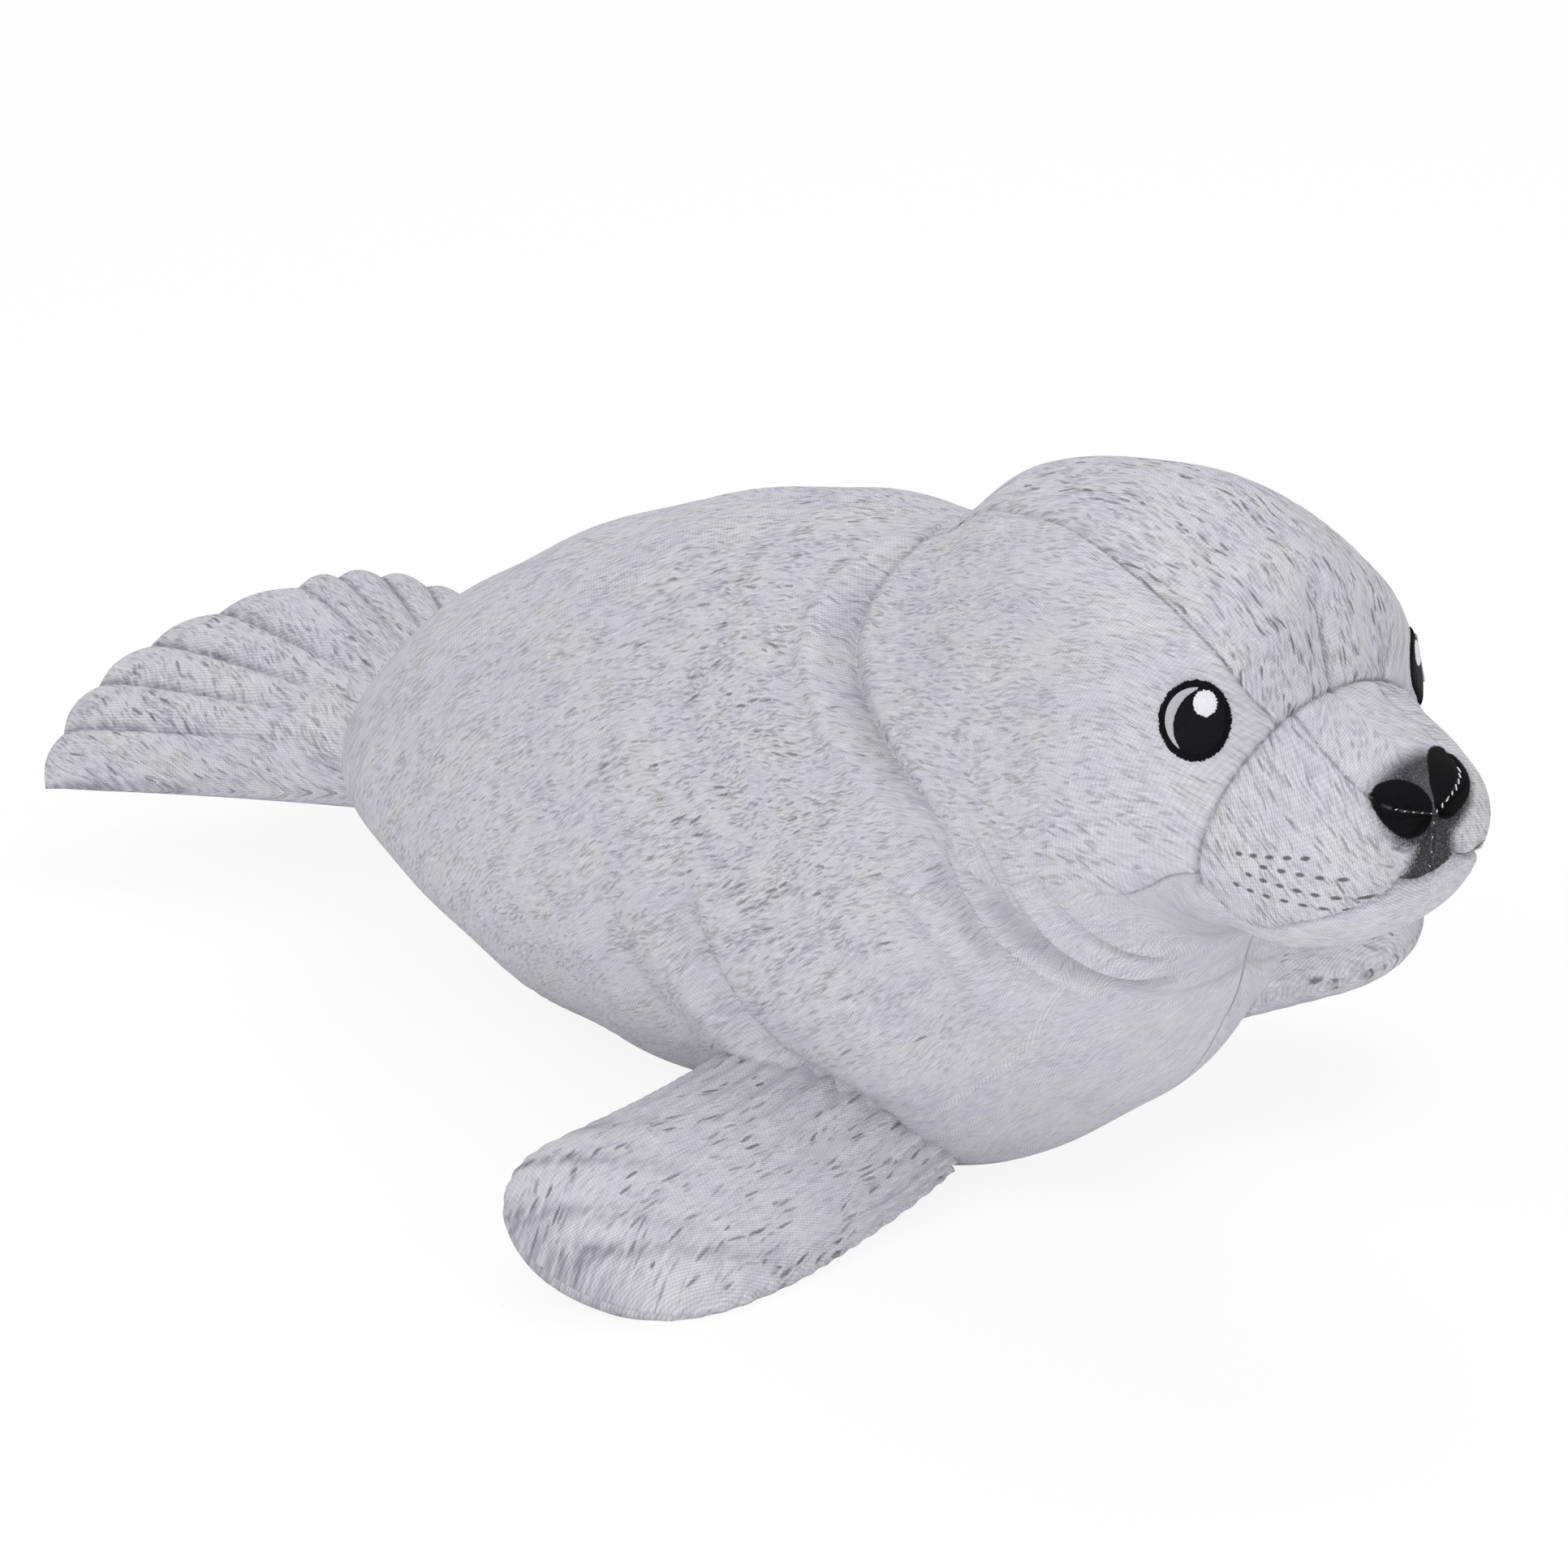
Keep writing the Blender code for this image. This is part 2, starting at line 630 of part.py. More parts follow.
def flipper_loops(pose):
    """Loops of a front flipper: flat ovals along a drooping axis, closing at a round tip."""
    side = pose["side"]
    sweep, drop, roll = (math.radians(pose[key]) for key in ("sweep", "drop", "roll"))
    axis = np.array([-math.sin(sweep) * math.cos(drop), side * math.cos(sweep) * math.cos(drop),
                     -math.sin(drop)])
    level = np.array([math.cos(sweep), side * math.sin(sweep), 0.0])
    upward = np.cross(level, axis) * -side
    upward = upward * np.sign(upward[2])
    across = level * math.cos(roll) + upward * math.sin(roll)
    normal = upward * math.cos(roll) - level * math.sin(roll)
    root = np.array([FLIPPER_ROOT_X, side * FLIPPER_ROOT_Y, pose["height"]])
    turns = -side * 2 * np.pi * np.arange(FLIPPER_AROUND) / FLIPPER_AROUND
    round_from = 1 - FLIPPER_TIP_HALF_WIDTH / FLIPPER_LENGTH
    loops = [root[None]]
    for t in FLIPPER_ROW_SHARES:
        taper = min(t / FLIPPER_WIDENING_SHARE, 1.0)
        wide = FLIPPER_ROOT_HALF_WIDTH + (FLIPPER_TIP_HALF_WIDTH - FLIPPER_ROOT_HALF_WIDTH) * taper
        high = FLIPPER_ROOT_HALF_HEIGHT + (FLIPPER_TIP_HALF_HEIGHT - FLIPPER_ROOT_HALF_HEIGHT) * taper
        closing = max((t - round_from) / (1 - round_from), 0.0)
        end = math.sqrt(1 - closing**FLIPPER_TIP_ROUNDNESS)
        centre = root + axis * t * FLIPPER_LENGTH + across * pose["curl"] * t * t
        loop = centre + np.outer(np.cos(turns) * wide * end, across)
        loop = loop + np.outer(np.sin(turns) * high * end**FLIPPER_TIP_FULLNESS, normal)
        loops.append(loop)
    loops.append((root + axis * FLIPPER_LENGTH + across * pose["curl"])[None])
    for loop in loops:
        loop[:, 2] = np.maximum(loop[:, 2], 0.0)
    return loops


def build_front_flipper(word, pose, cutter, finishes):
    """One front flipper, its two sheets and its filling."""
    loops = flipper_loops(pose)
    half = FLIPPER_AROUND // 2
    labels = [(k < half) == (pose["side"] < 0) for k in range(FLIPPER_AROUND)]
    skin = skin_from_loops(np.vstack(loops), number_loops(loops), labels)
    stuffed_pair("front_flipper_" + word, skin, lambda cell: cell[1], lambda cell: cell[0] == 0,
                 cutter, finishes)


def fan_middle(u, v):
    """Middle surface of the hind fan: straight rays from a short root to a scalloped edge."""
    out = np.abs(u)
    side = np.sign(u)
    toes = np.abs(np.sin(np.pi * TOES_PER_LOBE * out))
    root = np.stack([0 * u, FAN_ROOT_HALF_WIDTH * u, FAN_ROOT_CROWN * (1 - out * out)], -1)
    reach = FAN_BULGE * 4 * out * (1 - out) + TOE_SCALLOP * (toes - 1)
    back, aside, up = (reach * way for way in FAN_BULGE_WAY)
    edge = np.stack([
        back - FAN_NOTCH_BACK - (FAN_TIP_BACK - FAN_NOTCH_BACK) * out,
        side * (FAN_TIP_SIDE * out + aside),
        FAN_NOTCH_RISE + (FAN_TIP_RISE - FAN_NOTCH_RISE) * out + up,
    ], -1)
    return root + (edge - root) * v[..., None], toes


def build_hind_fan(cutter, finishes):
    """Two lobes of toes from one pair of sheets, with valleys stitched between the toes."""
    across = 2 * TOES_PER_LOBE * TOE_POINTS
    u, v = np.meshgrid(np.linspace(-1, 1, across + 1), FAN_ROW_SHARES)
    middle, toes = fan_middle(u, v)
    edge = np.sqrt(1 - np.abs(u)**FAN_SIDE_ROUNDNESS)
    end = np.sqrt(1 - v**FAN_END_ROUNDNESS)
    deepening = np.clip((v - VALLEY_START) / (VALLEY_FULL - VALLEY_START), 0, 1)
    valley = 1 - TOE_VALLEY * (1 - toes) * np.sin(np.pi / 2 * deepening)
    high = FAN_HALF_HEIGHT * edge * end * valley * (FAN_ROOT_FULLNESS + (1 - FAN_ROOT_FULLNESS) * v)
    turn = np.array(Matrix.Rotation(math.radians(FAN_SWING), 3, "Z")
                    @ Matrix.Rotation(math.radians(FAN_ROLL), 3, "X"))
    rump_x, rump_z = STATIONS[0][:2]
    place = np.array([rump_x + FAN_ROOT_DEPTH, 0.0, rump_z + FAN_ROOT_RISE])
    rise = high[..., None] * np.array([0.0, 0.0, 1.0])
    upper = (middle + rise) @ turn.T + place
    lower = (middle - rise) @ turn.T + place
    loops = [place[None]]
    for row in range(len(FAN_ROW_SHARES) - 1):
        loops.append(np.vstack([upper[row], lower[row, -2:0:-1]]))
    numbers = number_loops(loops)
    first = sum(len(loop) for loop in loops)
    last = list(range(first, first + across + 1))
    numbers.append(last + last[-2:0:-1])
    labels = [k < across for k in range(2 * across)]
    skin = skin_from_loops(np.vstack(loops + [upper[-1]]), numbers, labels)
    stuffed_pair("hind_fan", skin, lambda cell: cell[1], lambda cell: cell[0] == 0, cutter, finishes)


def build():
    """Make the finishes and every piece of the seal."""
    clear_scene()
    finishes = {
        "fur": material("printed_knit", FUR_GREY, 0.85),
        "throat": material("pale_printed_knit", THROAT_GREY, 0.85),
        "flipper": material("dark_printed_knit", FLIPPER_GREY, 0.85),
        "filling": material("polyester_filling", FILLING_WHITE, 0.95),
        "black_thread": material("black_thread", THREAD_BLACK, 0.5),
        "white_thread": material("white_thread", THREAD_WHITE, 0.5),
        "silver_thread": material("silver_thread", THREAD_SILVER, 0.5),
        "dark_print": material("dark_print", PRINT_DARK, 0.8),
        "black_print": material("black_print", PRINT_BLACK, 0.8),
    }
    skin, cutter = build_body(finishes)
    build_eyes(skin, finishes)
    build_nose(skin, finishes)
    build_front_flipper("right", RIGHT_FLIPPER, cutter, finishes)
    build_front_flipper("left", LEFT_FLIPPER, cutter, finishes)
    build_hind_fan(cutter, finishes)


build()
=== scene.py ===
# %% [markdown]
# The real object is a stuffed plush seal, sewn from a fine knit that is printed with fur.
# It is one piece with no joints, so every part of it rides on one body, the root.
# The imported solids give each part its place. Here the sewn skins are made again with far
# finer grids, so that folds, seams, print and stitches can be seen.

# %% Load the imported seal
import bpy
import math
import numpy as np
from mathutils import Matrix


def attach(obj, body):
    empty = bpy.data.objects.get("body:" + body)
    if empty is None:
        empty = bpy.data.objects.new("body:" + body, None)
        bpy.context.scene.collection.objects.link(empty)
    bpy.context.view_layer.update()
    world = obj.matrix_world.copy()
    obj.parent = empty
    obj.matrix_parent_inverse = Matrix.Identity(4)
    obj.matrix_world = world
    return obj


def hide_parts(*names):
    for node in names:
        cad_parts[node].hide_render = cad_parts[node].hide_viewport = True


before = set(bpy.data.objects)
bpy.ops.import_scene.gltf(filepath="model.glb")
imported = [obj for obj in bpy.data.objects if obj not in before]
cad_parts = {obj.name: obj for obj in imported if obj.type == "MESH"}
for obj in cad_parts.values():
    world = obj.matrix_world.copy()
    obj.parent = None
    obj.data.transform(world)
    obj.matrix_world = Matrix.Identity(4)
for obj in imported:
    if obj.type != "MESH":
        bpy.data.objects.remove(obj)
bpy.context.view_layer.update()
print("packed nodes:", len(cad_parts))

# %% [markdown]
# A material is a sum of many small patterns. To write those sums as plain arithmetic, a
# wire wraps one output socket, and adding or multiplying wires adds the nodes. All other
# nodes come from one method, which sets a node's settings first and then its inputs.

# %% A short way to write materials


def math_node(operation, swapped=False):
    """A method of wires that adds one Math node, for the wire itself and other values."""
    def method(*values):
        return values[0].finish.maths(operation, *(values[::-1] if swapped else values))
    return method


class Wire:
    """One value between two nodes. Arithmetic on wires adds Math nodes."""

    __add__ = __radd__ = math_node("ADD")
    __sub__ = math_node("SUBTRACT")
    __rsub__ = math_node("SUBTRACT", swapped=True)
    __mul__ = __rmul__ = math_node("MULTIPLY")
    __truediv__ = math_node("DIVIDE")
    __pow__ = math_node("POWER")
    size = math_node("ABSOLUTE")
    sine = math_node("SINE")
    most = math_node("MAXIMUM")
    least = math_node("MINIMUM")

    def __init__(self, finish, socket):
        self.finish = finish
        self.socket = socket

    def other(self, output):
        """Another output of the same node."""
        return Wire(self.finish, self.socket.node.outputs[output])


class Finish:
    """A node tree whose nodes are added by one method: a material's, or the sky's."""

    def __init__(self, name, tree=None, **fixed):
        if tree:
            self.tree = tree
            return
        self.material = bpy.data.materials.new(name)
        self.material.use_nodes = True
        self.tree = self.material.node_tree
        self.shader = self.tree.nodes["Principled BSDF"]
        for socket, value in fixed.items():
            self.shader.inputs[socket.replace("_", " ")].default_value = value

    def feed(self, socket, value):
        if isinstance(value, Wire):
            self.tree.links.new(value.socket, socket)
        else:
            socket.default_value = value

    def add(self, kind, settings=None, inputs=None, output=0):
        node = self.tree.nodes.new("ShaderNode" + kind)
        for key, value in (settings or {}).items():
            setattr(node, key, value)
        for key, value in (inputs or {}).items():
            self.feed(node.inputs[key], value)
        return Wire(self, node.outputs[output])

    def maths(self, operation, *values):
        return self.add("Math", {"operation": operation}, dict(enumerate(values)))

    def vector(self, operation, *values):
        return self.add("VectorMath", {"operation": operation}, dict(enumerate(values)))

    def attribute(self, name, output="Vector"):
        return self.add("Attribute", {"attribute_name": name}, output=output)

    def parts(self, vector):
        return [self.add("SeparateXYZ", None, {0: vector}, axis) for axis in range(3)]

    def noise(self, place, scale, detail=2.0, roughness=0.5, shift=(0.0, 0.0, 0.0)):
        """Noise with its own scale along each axis of the place, and moved by a shift."""
        place = self.vector("MULTIPLY_ADD", place, scale, shift)
        return self.add("TexNoise", None,
                        {"Vector": place, "Scale": 1.0, "Detail": detail, "Roughness": roughness})

    def step(self, value, start, end):
        """0 before start, 1 after end, and a smooth rise between them."""
        return self.add("MapRange", {"interpolation_type": "SMOOTHSTEP"},
                        {"Value": value, "From Min": start, "From Max": end})

    def blend(self, share, first, second):
        """Mix two colours."""
        return self.add("Mix", {"data_type": "RGBA"}, {0: share, 6: first, 7: second}, 2)

    def wear(self, colour, height, distance):
        """Give the shader a colour and a bump, and hand back the material."""
        bump = self.add("Bump", None,
                        {"Height": height, "Distance": distance, "Strength": 0.8})
        self.feed(self.shader.inputs["Base Color"], colour)
        self.feed(self.shader.inputs["Normal"], bump)
        return self.material


print("materials before the finishes:", len(bpy.data.materials))

# %% [markdown]
# The camera stands in front of the seal, on its right, and looks down on it at 24 degrees.
# A long lens keeps the head and the tail at nearly one scale. The camera's own axes are
# written out, because a rotation in three angles says less about where it looks.

# %% Camera
PHOTO_LENS = 130.4         # millimetres
SENSOR_WIDTH = 36.0
PHOTO_PLACE = (1.1228, -1.1218, 0.8038)
LOOK_BACK = (0.6535, -0.6393, 0.4053)
LOOK_RIGHT = (0.6993, 0.7148, 0.0)


def unit(vectors):
    """The same directions with length 1."""
    return vectors / np.maximum(np.linalg.norm(vectors, axis=-1, keepdims=True), 1e-12)


def add_thing(name, data):
    """An object of the scene that holds a camera, a lamp or a mesh."""
    thing = bpy.data.objects.new(name, data)
    bpy.context.scene.collection.objects.link(thing)
    return thing


def facing(right, back, place):
    """The matrix of a camera or lamp whose local axes are right, up and back."""
    turn = np.eye(4)
    turn[:3, :3] = np.stack([right, np.cross(back, right), back], axis=1)
    turn[:3, 3] = place
    return Matrix(turn.tolist())


def place_camera():
    """The camera that sees the seal as the photo does."""
    lens = bpy.data.cameras.new("photo_camera")
    lens.lens = PHOTO_LENS
    lens.sensor_width = SENSOR_WIDTH
    camera = add_thing("photo_camera", lens)
    camera.matrix_world = facing(unit(LOOK_RIGHT), unit(LOOK_BACK), PHOTO_PLACE)
    bpy.context.scene.camera = camera
    return camera


print("camera at", tuple(round(v, 3) for v in place_camera().location))

# %% [markdown]
# The floor is plain and white. Its material is a matt white that still takes the seal's
# soft shadow, and for rays from the camera part of it is plain white light, so that it
# reaches the edge of the picture without more light falling on the seal.

# %% Floor, lights and sky
FLOOR_WHITE_SHARE = 0.88


def white_where_seen(finish):
    """1 for rays from the camera and for what is seen in gloss or glass, else 0."""
    camera, gloss, glass = (finish.add("LightPath", output="Is " + ray + " Ray")
                            for ray in ("Camera", "Glossy", "Transmission"))
    return camera.most(gloss).most(glass)


def make_floor(size=8.0):
    """A flat square sheet at floor level."""
    half = size / 2
    corners = [(-half, -half, 0), (half, -half, 0), (half, half, 0), (-half, half, 0)]
    mesh = bpy.data.meshes.new("floor")
    mesh.from_pydata(corners, [], [(0, 1, 2, 3)])
    paint = Finish("floor_white", Base_Color=(0.93, 0.93, 0.93, 1.0), Roughness=0.9,
                   Specular_IOR_Level=0.0)
    matt = Wire(paint, paint.shader.outputs[0])
    light = paint.add("Emission")
    share = white_where_seen(paint) * FLOOR_WHITE_SHARE
    white = paint.add("MixShader", None, {0: share, 1: matt, 2: light})
    paint.feed(paint.tree.nodes["Material Output"].inputs["Surface"], white)
    mesh.materials.append(paint.material)
    floor = add_thing("floor", mesh)


def make_sky(strength):
    """Even white light from all round, seen by the camera as plain white."""
    world = bpy.data.worlds.new("studio")
    world.use_nodes = True
    sky = Finish("studio", world.node_tree)
    background = sky.tree.nodes["Background"]
    background.inputs["Color"].default_value = (1.0, 1.0, 1.0, 1.0)
    sky.feed(background.inputs["Strength"], white_where_seen(sky) * (1.0 - strength) + strength)
    bpy.context.scene.world = world


def make_lamp(name, place, aim, size, power):
    """A square soft lamp that faces a point."""
    lamp = bpy.data.lights.new(name, "AREA")
    lamp.size = size
    lamp.energy = power
    back = unit(np.subtract(place, aim))
    right = unit(np.cross((0, 0, 1), back))
    add_thing(name, lamp).matrix_world = facing(right, back, place)


make_floor()
make_sky(0.60)
make_lamp("key_lamp", (-0.1, -1.5, 1.4), (0.0, 0.0, 0.1), 0.9, 10.5)
make_lamp("head_lamp", (1.7, 0.1, 0.9), (0.1, 0.0, 0.12), 0.9, 5)
make_lamp("low_lamp", (1.1, -1.1, 0.18), (0.12, 0.0, 0.08), 0.3, 4)
make_lamp("top_lamp", (-0.3, 0.7, 1.9), (0.0, 0.0, 0.1), 1.2, 15)
bpy.context.scene.view_settings.view_transform = "Standard"

# %% [markdown]
# The body was sewn from side panels, a belly panel that runs on under the throat, cheeks,
# a forehead gusset and a muzzle of three panels. All of them lie in one closed skin. Each
# cross-section is an ellipse that hangs between two rails, one along the spine and one
# along the belly, so a few rows of numbers hold the whole shape. A ring is a station from
# 0 at the rump to 13 at the nose, and a line runs from 0 at the spine to 16 at the belly.

# %% Rails of the body
# Rump to nose: spine x, spine z, belly x, belly z and half width, in metres
STATIONS = (
    (-0.206, 0.046, -0.206, 0.046, 0.000),
    (-0.199, 0.075, -0.184, 0.033, 0.037),
    (-0.169, 0.114, -0.142, 0.015, 0.058),
    (-0.117, 0.149, -0.078, 0.000, 0.074),
    (-0.057, 0.178, -0.008, -0.004, 0.080),
    (0.002, 0.196, 0.070, -0.002, 0.076),
    (0.050, 0.202, 0.133, 0.041, 0.061),
    (0.081, 0.225, 0.160, 0.079, 0.059),
    (0.131, 0.237, 0.167, 0.103, 0.062),
    (0.180, 0.224, 0.171, 0.112, 0.057),
    (0.197, 0.193, 0.180, 0.117, 0.049),
    (0.213, 0.182, 0.205, 0.118, 0.044),
    (0.227, 0.175, 0.230, 0.134, 0.029),
    (0.233, 0.165, 0.233, 0.165, 0.000),
)
NECK, MUZZLE, MOUTH, NOSE = 6.5, 10.0, 12.4, 13.0
EGG_SKEW = 0.04            # makes each section a little fuller below its middle
NECK_COURSE = (6.05, 5.65, 6.35, 7.1, 7.8)      # the neck seam, every 45 degrees from the spine
NECK_REACH = 3.2
GUSSET, BRIDGE, CHEEK, LIP, BELLY, MIDDLE = 4, 3, 10, 11, 12, 16
SEAM_LINES = (0, BRIDGE, GUSSET, CHEEK, LIP, BELLY, MIDDLE)
SEAM_STATIONS = (0.0, 5.0, NECK, 7.2, 7.9, 8.5, 9.15, 9.5, MUZZLE, 10.7, 11.4, 12.1, MOUTH, NOSE)
# At those stations, the angle of each seam line from the spine, in degrees
SEAM_ANGLES = (
    (0, 34, 45, 112, 124, 138, 180),
    (0, 30, 40, 108, 122, 138, 180),
    (0, 9, 13, 90, 109, 130, 180),
    (0, 12, 17, 115, 127, 140, 180),
    (0, 20, 27, 126, 136, 146, 180),
    (0, 26, 36, 125, 134, 144, 180),
    (0, 30, 41, 119, 127, 139, 180),
    (0, 28, 38, 114, 121, 135, 180),
    (0, 22, 30, 107, 114, 130, 180),
    (0, 24, 33, 117, 127, 139, 180),
    (0, 29, 38, 111, 120, 134, 180),
    (0, 36, 46, 114, 126, 140, 180),
    (0, 38, 48, 124, 140, 149, 180),
    (0, 40, 52, 112, 124, 138, 180),
)


def smooth_rows(stops, rows, at):
    """Cubic curves through rows of values: each cell blends its two rows and their slopes."""
    stops = np.asarray(stops, float)
    rows = np.asarray(rows, float)
    at = np.clip(np.asarray(at, float), stops[0], stops[-1])
    slopes = np.gradient(rows, stops, axis=0)
    cell = np.clip(np.searchsorted(stops, at, side="right") - 1, 0, len(stops) - 2)
    step = (stops[cell + 1] - stops[cell])[..., None]
    f = (at - stops[cell])[..., None] / step
    start = (2 * f**3 - 3 * f**2 + 1) * rows[cell] + (f**3 - 2 * f**2 + f) * step * slopes[cell]
    return start + (3 * f**2 - 2 * f**3) * rows[cell + 1] + (f**3 - f**2) * step * slopes[cell + 1]


def hat(x):
    """A smooth bump: 1 at zero, falling to 0 at plus or minus 1."""
    x = np.clip(np.abs(x), 0.0, 1.0)
    return 1 - x * x * (3 - 2 * x)


def bell(x):
    """A bump that fades for ever: e to the power of minus x squared."""
    return np.exp(-x * x)


def angle_at(station, line):
    """Angle from the spine of a grid line: straight between the seam lines on either side."""
    rows = smooth_rows(SEAM_STATIONS, SEAM_ANGLES, station)
    lines = np.array(SEAM_LINES, float)
    size = np.clip(np.abs(line), 0, MIDDLE)
    cell = np.clip(np.searchsorted(lines, size, side="right") - 1, 0, len(lines) - 2)
    share = (size - lines[cell]) / (lines[cell + 1] - lines[cell])
    low = np.take_along_axis(rows, cell[..., None], -1)[..., 0]
    high = np.take_along_axis(rows, cell[..., None] + 1, -1)[..., 0]
    return np.radians(low + (high - low) * share) * np.sign(line)


def bare_skin(station, line):
    """Smooth skin: halfway between the rails, plus cosine and sine of the angle around."""
    angle = angle_at(station, line)
    course = smooth_rows((0, 45, 90, 135, 180), np.array(NECK_COURSE)[:, None], np.degrees(np.abs(angle)))
    shifted = station + (course[..., 0] - NECK) * hat((station - NECK) / NECK_REACH)
    rails = smooth_rows(range(len(STATIONS)), STATIONS, shifted)
    spine_x, spine_z, belly_x, belly_z, half_width = np.moveaxis(rails, -1, 0)
    across = np.cos(angle)
    x = (spine_x + belly_x) / 2 + (spine_x - belly_x) / 2 * across
    z = (spine_z + belly_z) / 2 + (spine_z - belly_z) / 2 * across
    y = -half_width * np.sin(angle) * (1 - EGG_SKEW * across)
    return np.stack([x, y, z], -1)


middle_ring = bare_skin(np.full(3, 4.0), np.array([0.0, 8.0, 16.0]))
print("section at station 4, height %.3f m" % (middle_ring[0, 2] - middle_ring[2, 2]))

# %% [markdown]
# Stuffed cloth never follows its pattern exactly. The neck seam is pulled into a deep
# crease, the slack cloth of the throat falls into long folds, and every seam is drawn in
# a little, with small puckers beside it. Each of these is a height added along the skin's
# normal. A simulation would give folds of its own, in other places than the real ones.

# %% Folds, seams and puckers
# Stations at a fold's start, middle and end, its first and last angle, width in stations, height
FOLDS = (
    (6.50, 6.50, 6.50, 8, 93, 0.09, -0.0062),
    (6.29, 6.29, 6.27, 20, 86, 0.11, 0.0042),
    (6.36, 6.22, 5.93, 79, 124, 0.06, -0.0060),
    (6.08, 5.98, 5.70, 82, 124, 0.11, 0.0036),
    (6.56, 6.31, 6.20, 84, 138, 0.06, 0.0048),
    (6.78, 6.37, 6.72, 88, 164, 0.06, -0.0066),
    (6.98, 6.55, 6.90, 96, 160, 0.06, 0.0038),
    (7.05, 6.75, 7.10, 104, 158, 0.05, -0.0036),
    (4.84, 4.64, 5.02, 80, 137, 0.08, -0.0056),
    (4.60, 4.44, 4.80, 84, 134, 0.12, 0.0030),
    (4.22, 4.13, 4.30, 82, 136, 0.10, -0.0028),
    (3.98, 3.92, 4.06, 86, 130, 0.12, 0.0014),
    (5.44, 5.30, 5.48, 90, 130, 0.12, -0.0018),
)
# Rings that carry a seam: station, first line, last line, depth, pull
RING_SEAMS = (
    (NECK, 0, CHEEK, 0.0010, 0.0006),
    (MUZZLE, 0, LIP, 0.0014, 0.0016),
    (MOUTH, LIP, MIDDLE, 0.0012, 0.0012),
)
# Lines that carry a seam: line, first station, last station, depth, pull
LINE_SEAMS = (
    (0, 0.3, NECK, 0.0003, 0.0002),
    (0, MUZZLE - 0.70, MUZZLE, 0.0020, 0.0024),
    (GUSSET, NECK, MUZZLE, 0.0009, 0.0006),
    (BRIDGE, MUZZLE, NOSE, 0.0009, 0.0005),
    (CHEEK, 7.5, MUZZLE, 0.0008, 0.0005),
    (LIP, MUZZLE, MOUTH, 0.0012, 0.0014),
    (BELLY, 0.3, NECK, 0.0002, 0.0002),
    (MIDDLE, MOUTH, NOSE, 0.0010, 0.0008),
)
# The dark seam lines are painted shade in the seams' grooves, and they start at this station
FACE_START = 8.3           # seam lines look dark from this station on
SEAM_WIDTH = 0.0008
PULL_WIDTH = 0.007
PUCKER = 0.00028
PUCKER_LENGTH = 0.0062
# Uneven stuffing: slow waves with so many radians per metre along x, y and z, and a phase
LUMP_WAVES = ((60, 25, 90, 0.4), (-35, 80, 40, 1.3), (95, -50, -30, 2.2), (20, 110, -75, 3.1),
              (-120, 30, 60, 4.4))
LUMP_HEIGHT = 0.00035
# The crease where the right flipper is sewn on, through these points, and its mirror image
FLIPPER_CREASE = ((-0.011, -0.046, 0.013), (0.031, -0.063, 0.033), (0.056, -0.063, 0.040),
                  (0.072, -0.052, 0.029), (0.070, -0.025, 0.005))
CREASE_DENTS = ((0.0032, 0.0032), (0.0014, 0.010))       # depth and width of each
NUDGE = 1e-3               # the step in station or line that gives a slope


def fold_height(station, angle):
    """Sum of the folds: a bell across each one, fading towards its two ends."""
    degrees = np.degrees(np.abs(angle))
    total = np.zeros(degrees.shape)
    for start, middle, end, first, last, width, height in FOLDS:
        along = np.clip((degrees - first) / (last - first), 0.0, 1.0)
        centre = start + (end - start) * along + (middle - (start + end) / 2) * 4 * along * (1 - along)
        total = total + height * hat(2 * along - 1)**0.5 * bell((station - centre) / width)
    return total


def seam_height(distance, along, depth, pull):
    """One seam: a narrow groove, a wide dip beside it, and puckers that fade away from it."""
    waves = np.sin(2 * np.pi * along / PUCKER_LENGTH + 1.7 * np.sin(along / 0.011))
    fade = np.exp(-distance / 0.005) * (1 - bell(distance / SEAM_WIDTH))
    groove = -depth * bell(distance / SEAM_WIDTH)
    return groove - pull * np.exp(-distance / PULL_WIDTH) + PUCKER * waves * fade


def seam_relief(station, line, stretch, girth):
    """All seams of the body, and on the face the distance to the nearest one in metres."""
    size = np.abs(line)
    total = np.zeros(size.shape)
    nearest = np.full(size.shape, 1.0)
    rings = (RING_SEAMS, station, stretch, size, girth, line)
    courses = (LINE_SEAMS, size, girth, station, stretch, station)
    for seams, aside, aside_metres, along, along_metres, walked in (rings, courses):
        for place, first, last, depth, pull in seams:
            beyond = np.maximum(np.maximum(first - along, along - last), 0) * along_metres
            distance = np.hypot((aside - place) * aside_metres, beyond)
            total = total + seam_height(distance, walked * along_metres, depth, pull)
            nearest = np.minimum(nearest, distance)
    return total, nearest + 0.001 * np.maximum(FACE_START - station, 0)


def lumps(points):
    """Uneven stuffing: a few long, slow waves in different directions, added together."""
    waves = np.array(LUMP_WAVES)
    return LUMP_HEIGHT * np.sin(points @ waves[:, :3].T + waves[:, 3]).sum(-1)


def gap_to_line(points, start, end):
    """Distance of points from a straight line, and the share of the line that they lie at."""
    way = np.subtract(end, start)
    share = np.clip((points - start) @ way / (way @ way), 0, 1)
    return np.linalg.norm(points - start - share[..., None] * way, axis=-1), share


def crease_relief(points):
    """Dents round each flipper's root: bells of the distance to a line through points."""
    pairs = zip(FLIPPER_CREASE, FLIPPER_CREASE[1:])
    gaps = [gap_to_line(points * (1, side, 1), *pair)[0] for pair in pairs for side in (1, -1)]
    nearest = np.min(gaps, axis=0)
    return -sum(depth * bell(nearest / width) for depth, width in CREASE_DENTS)


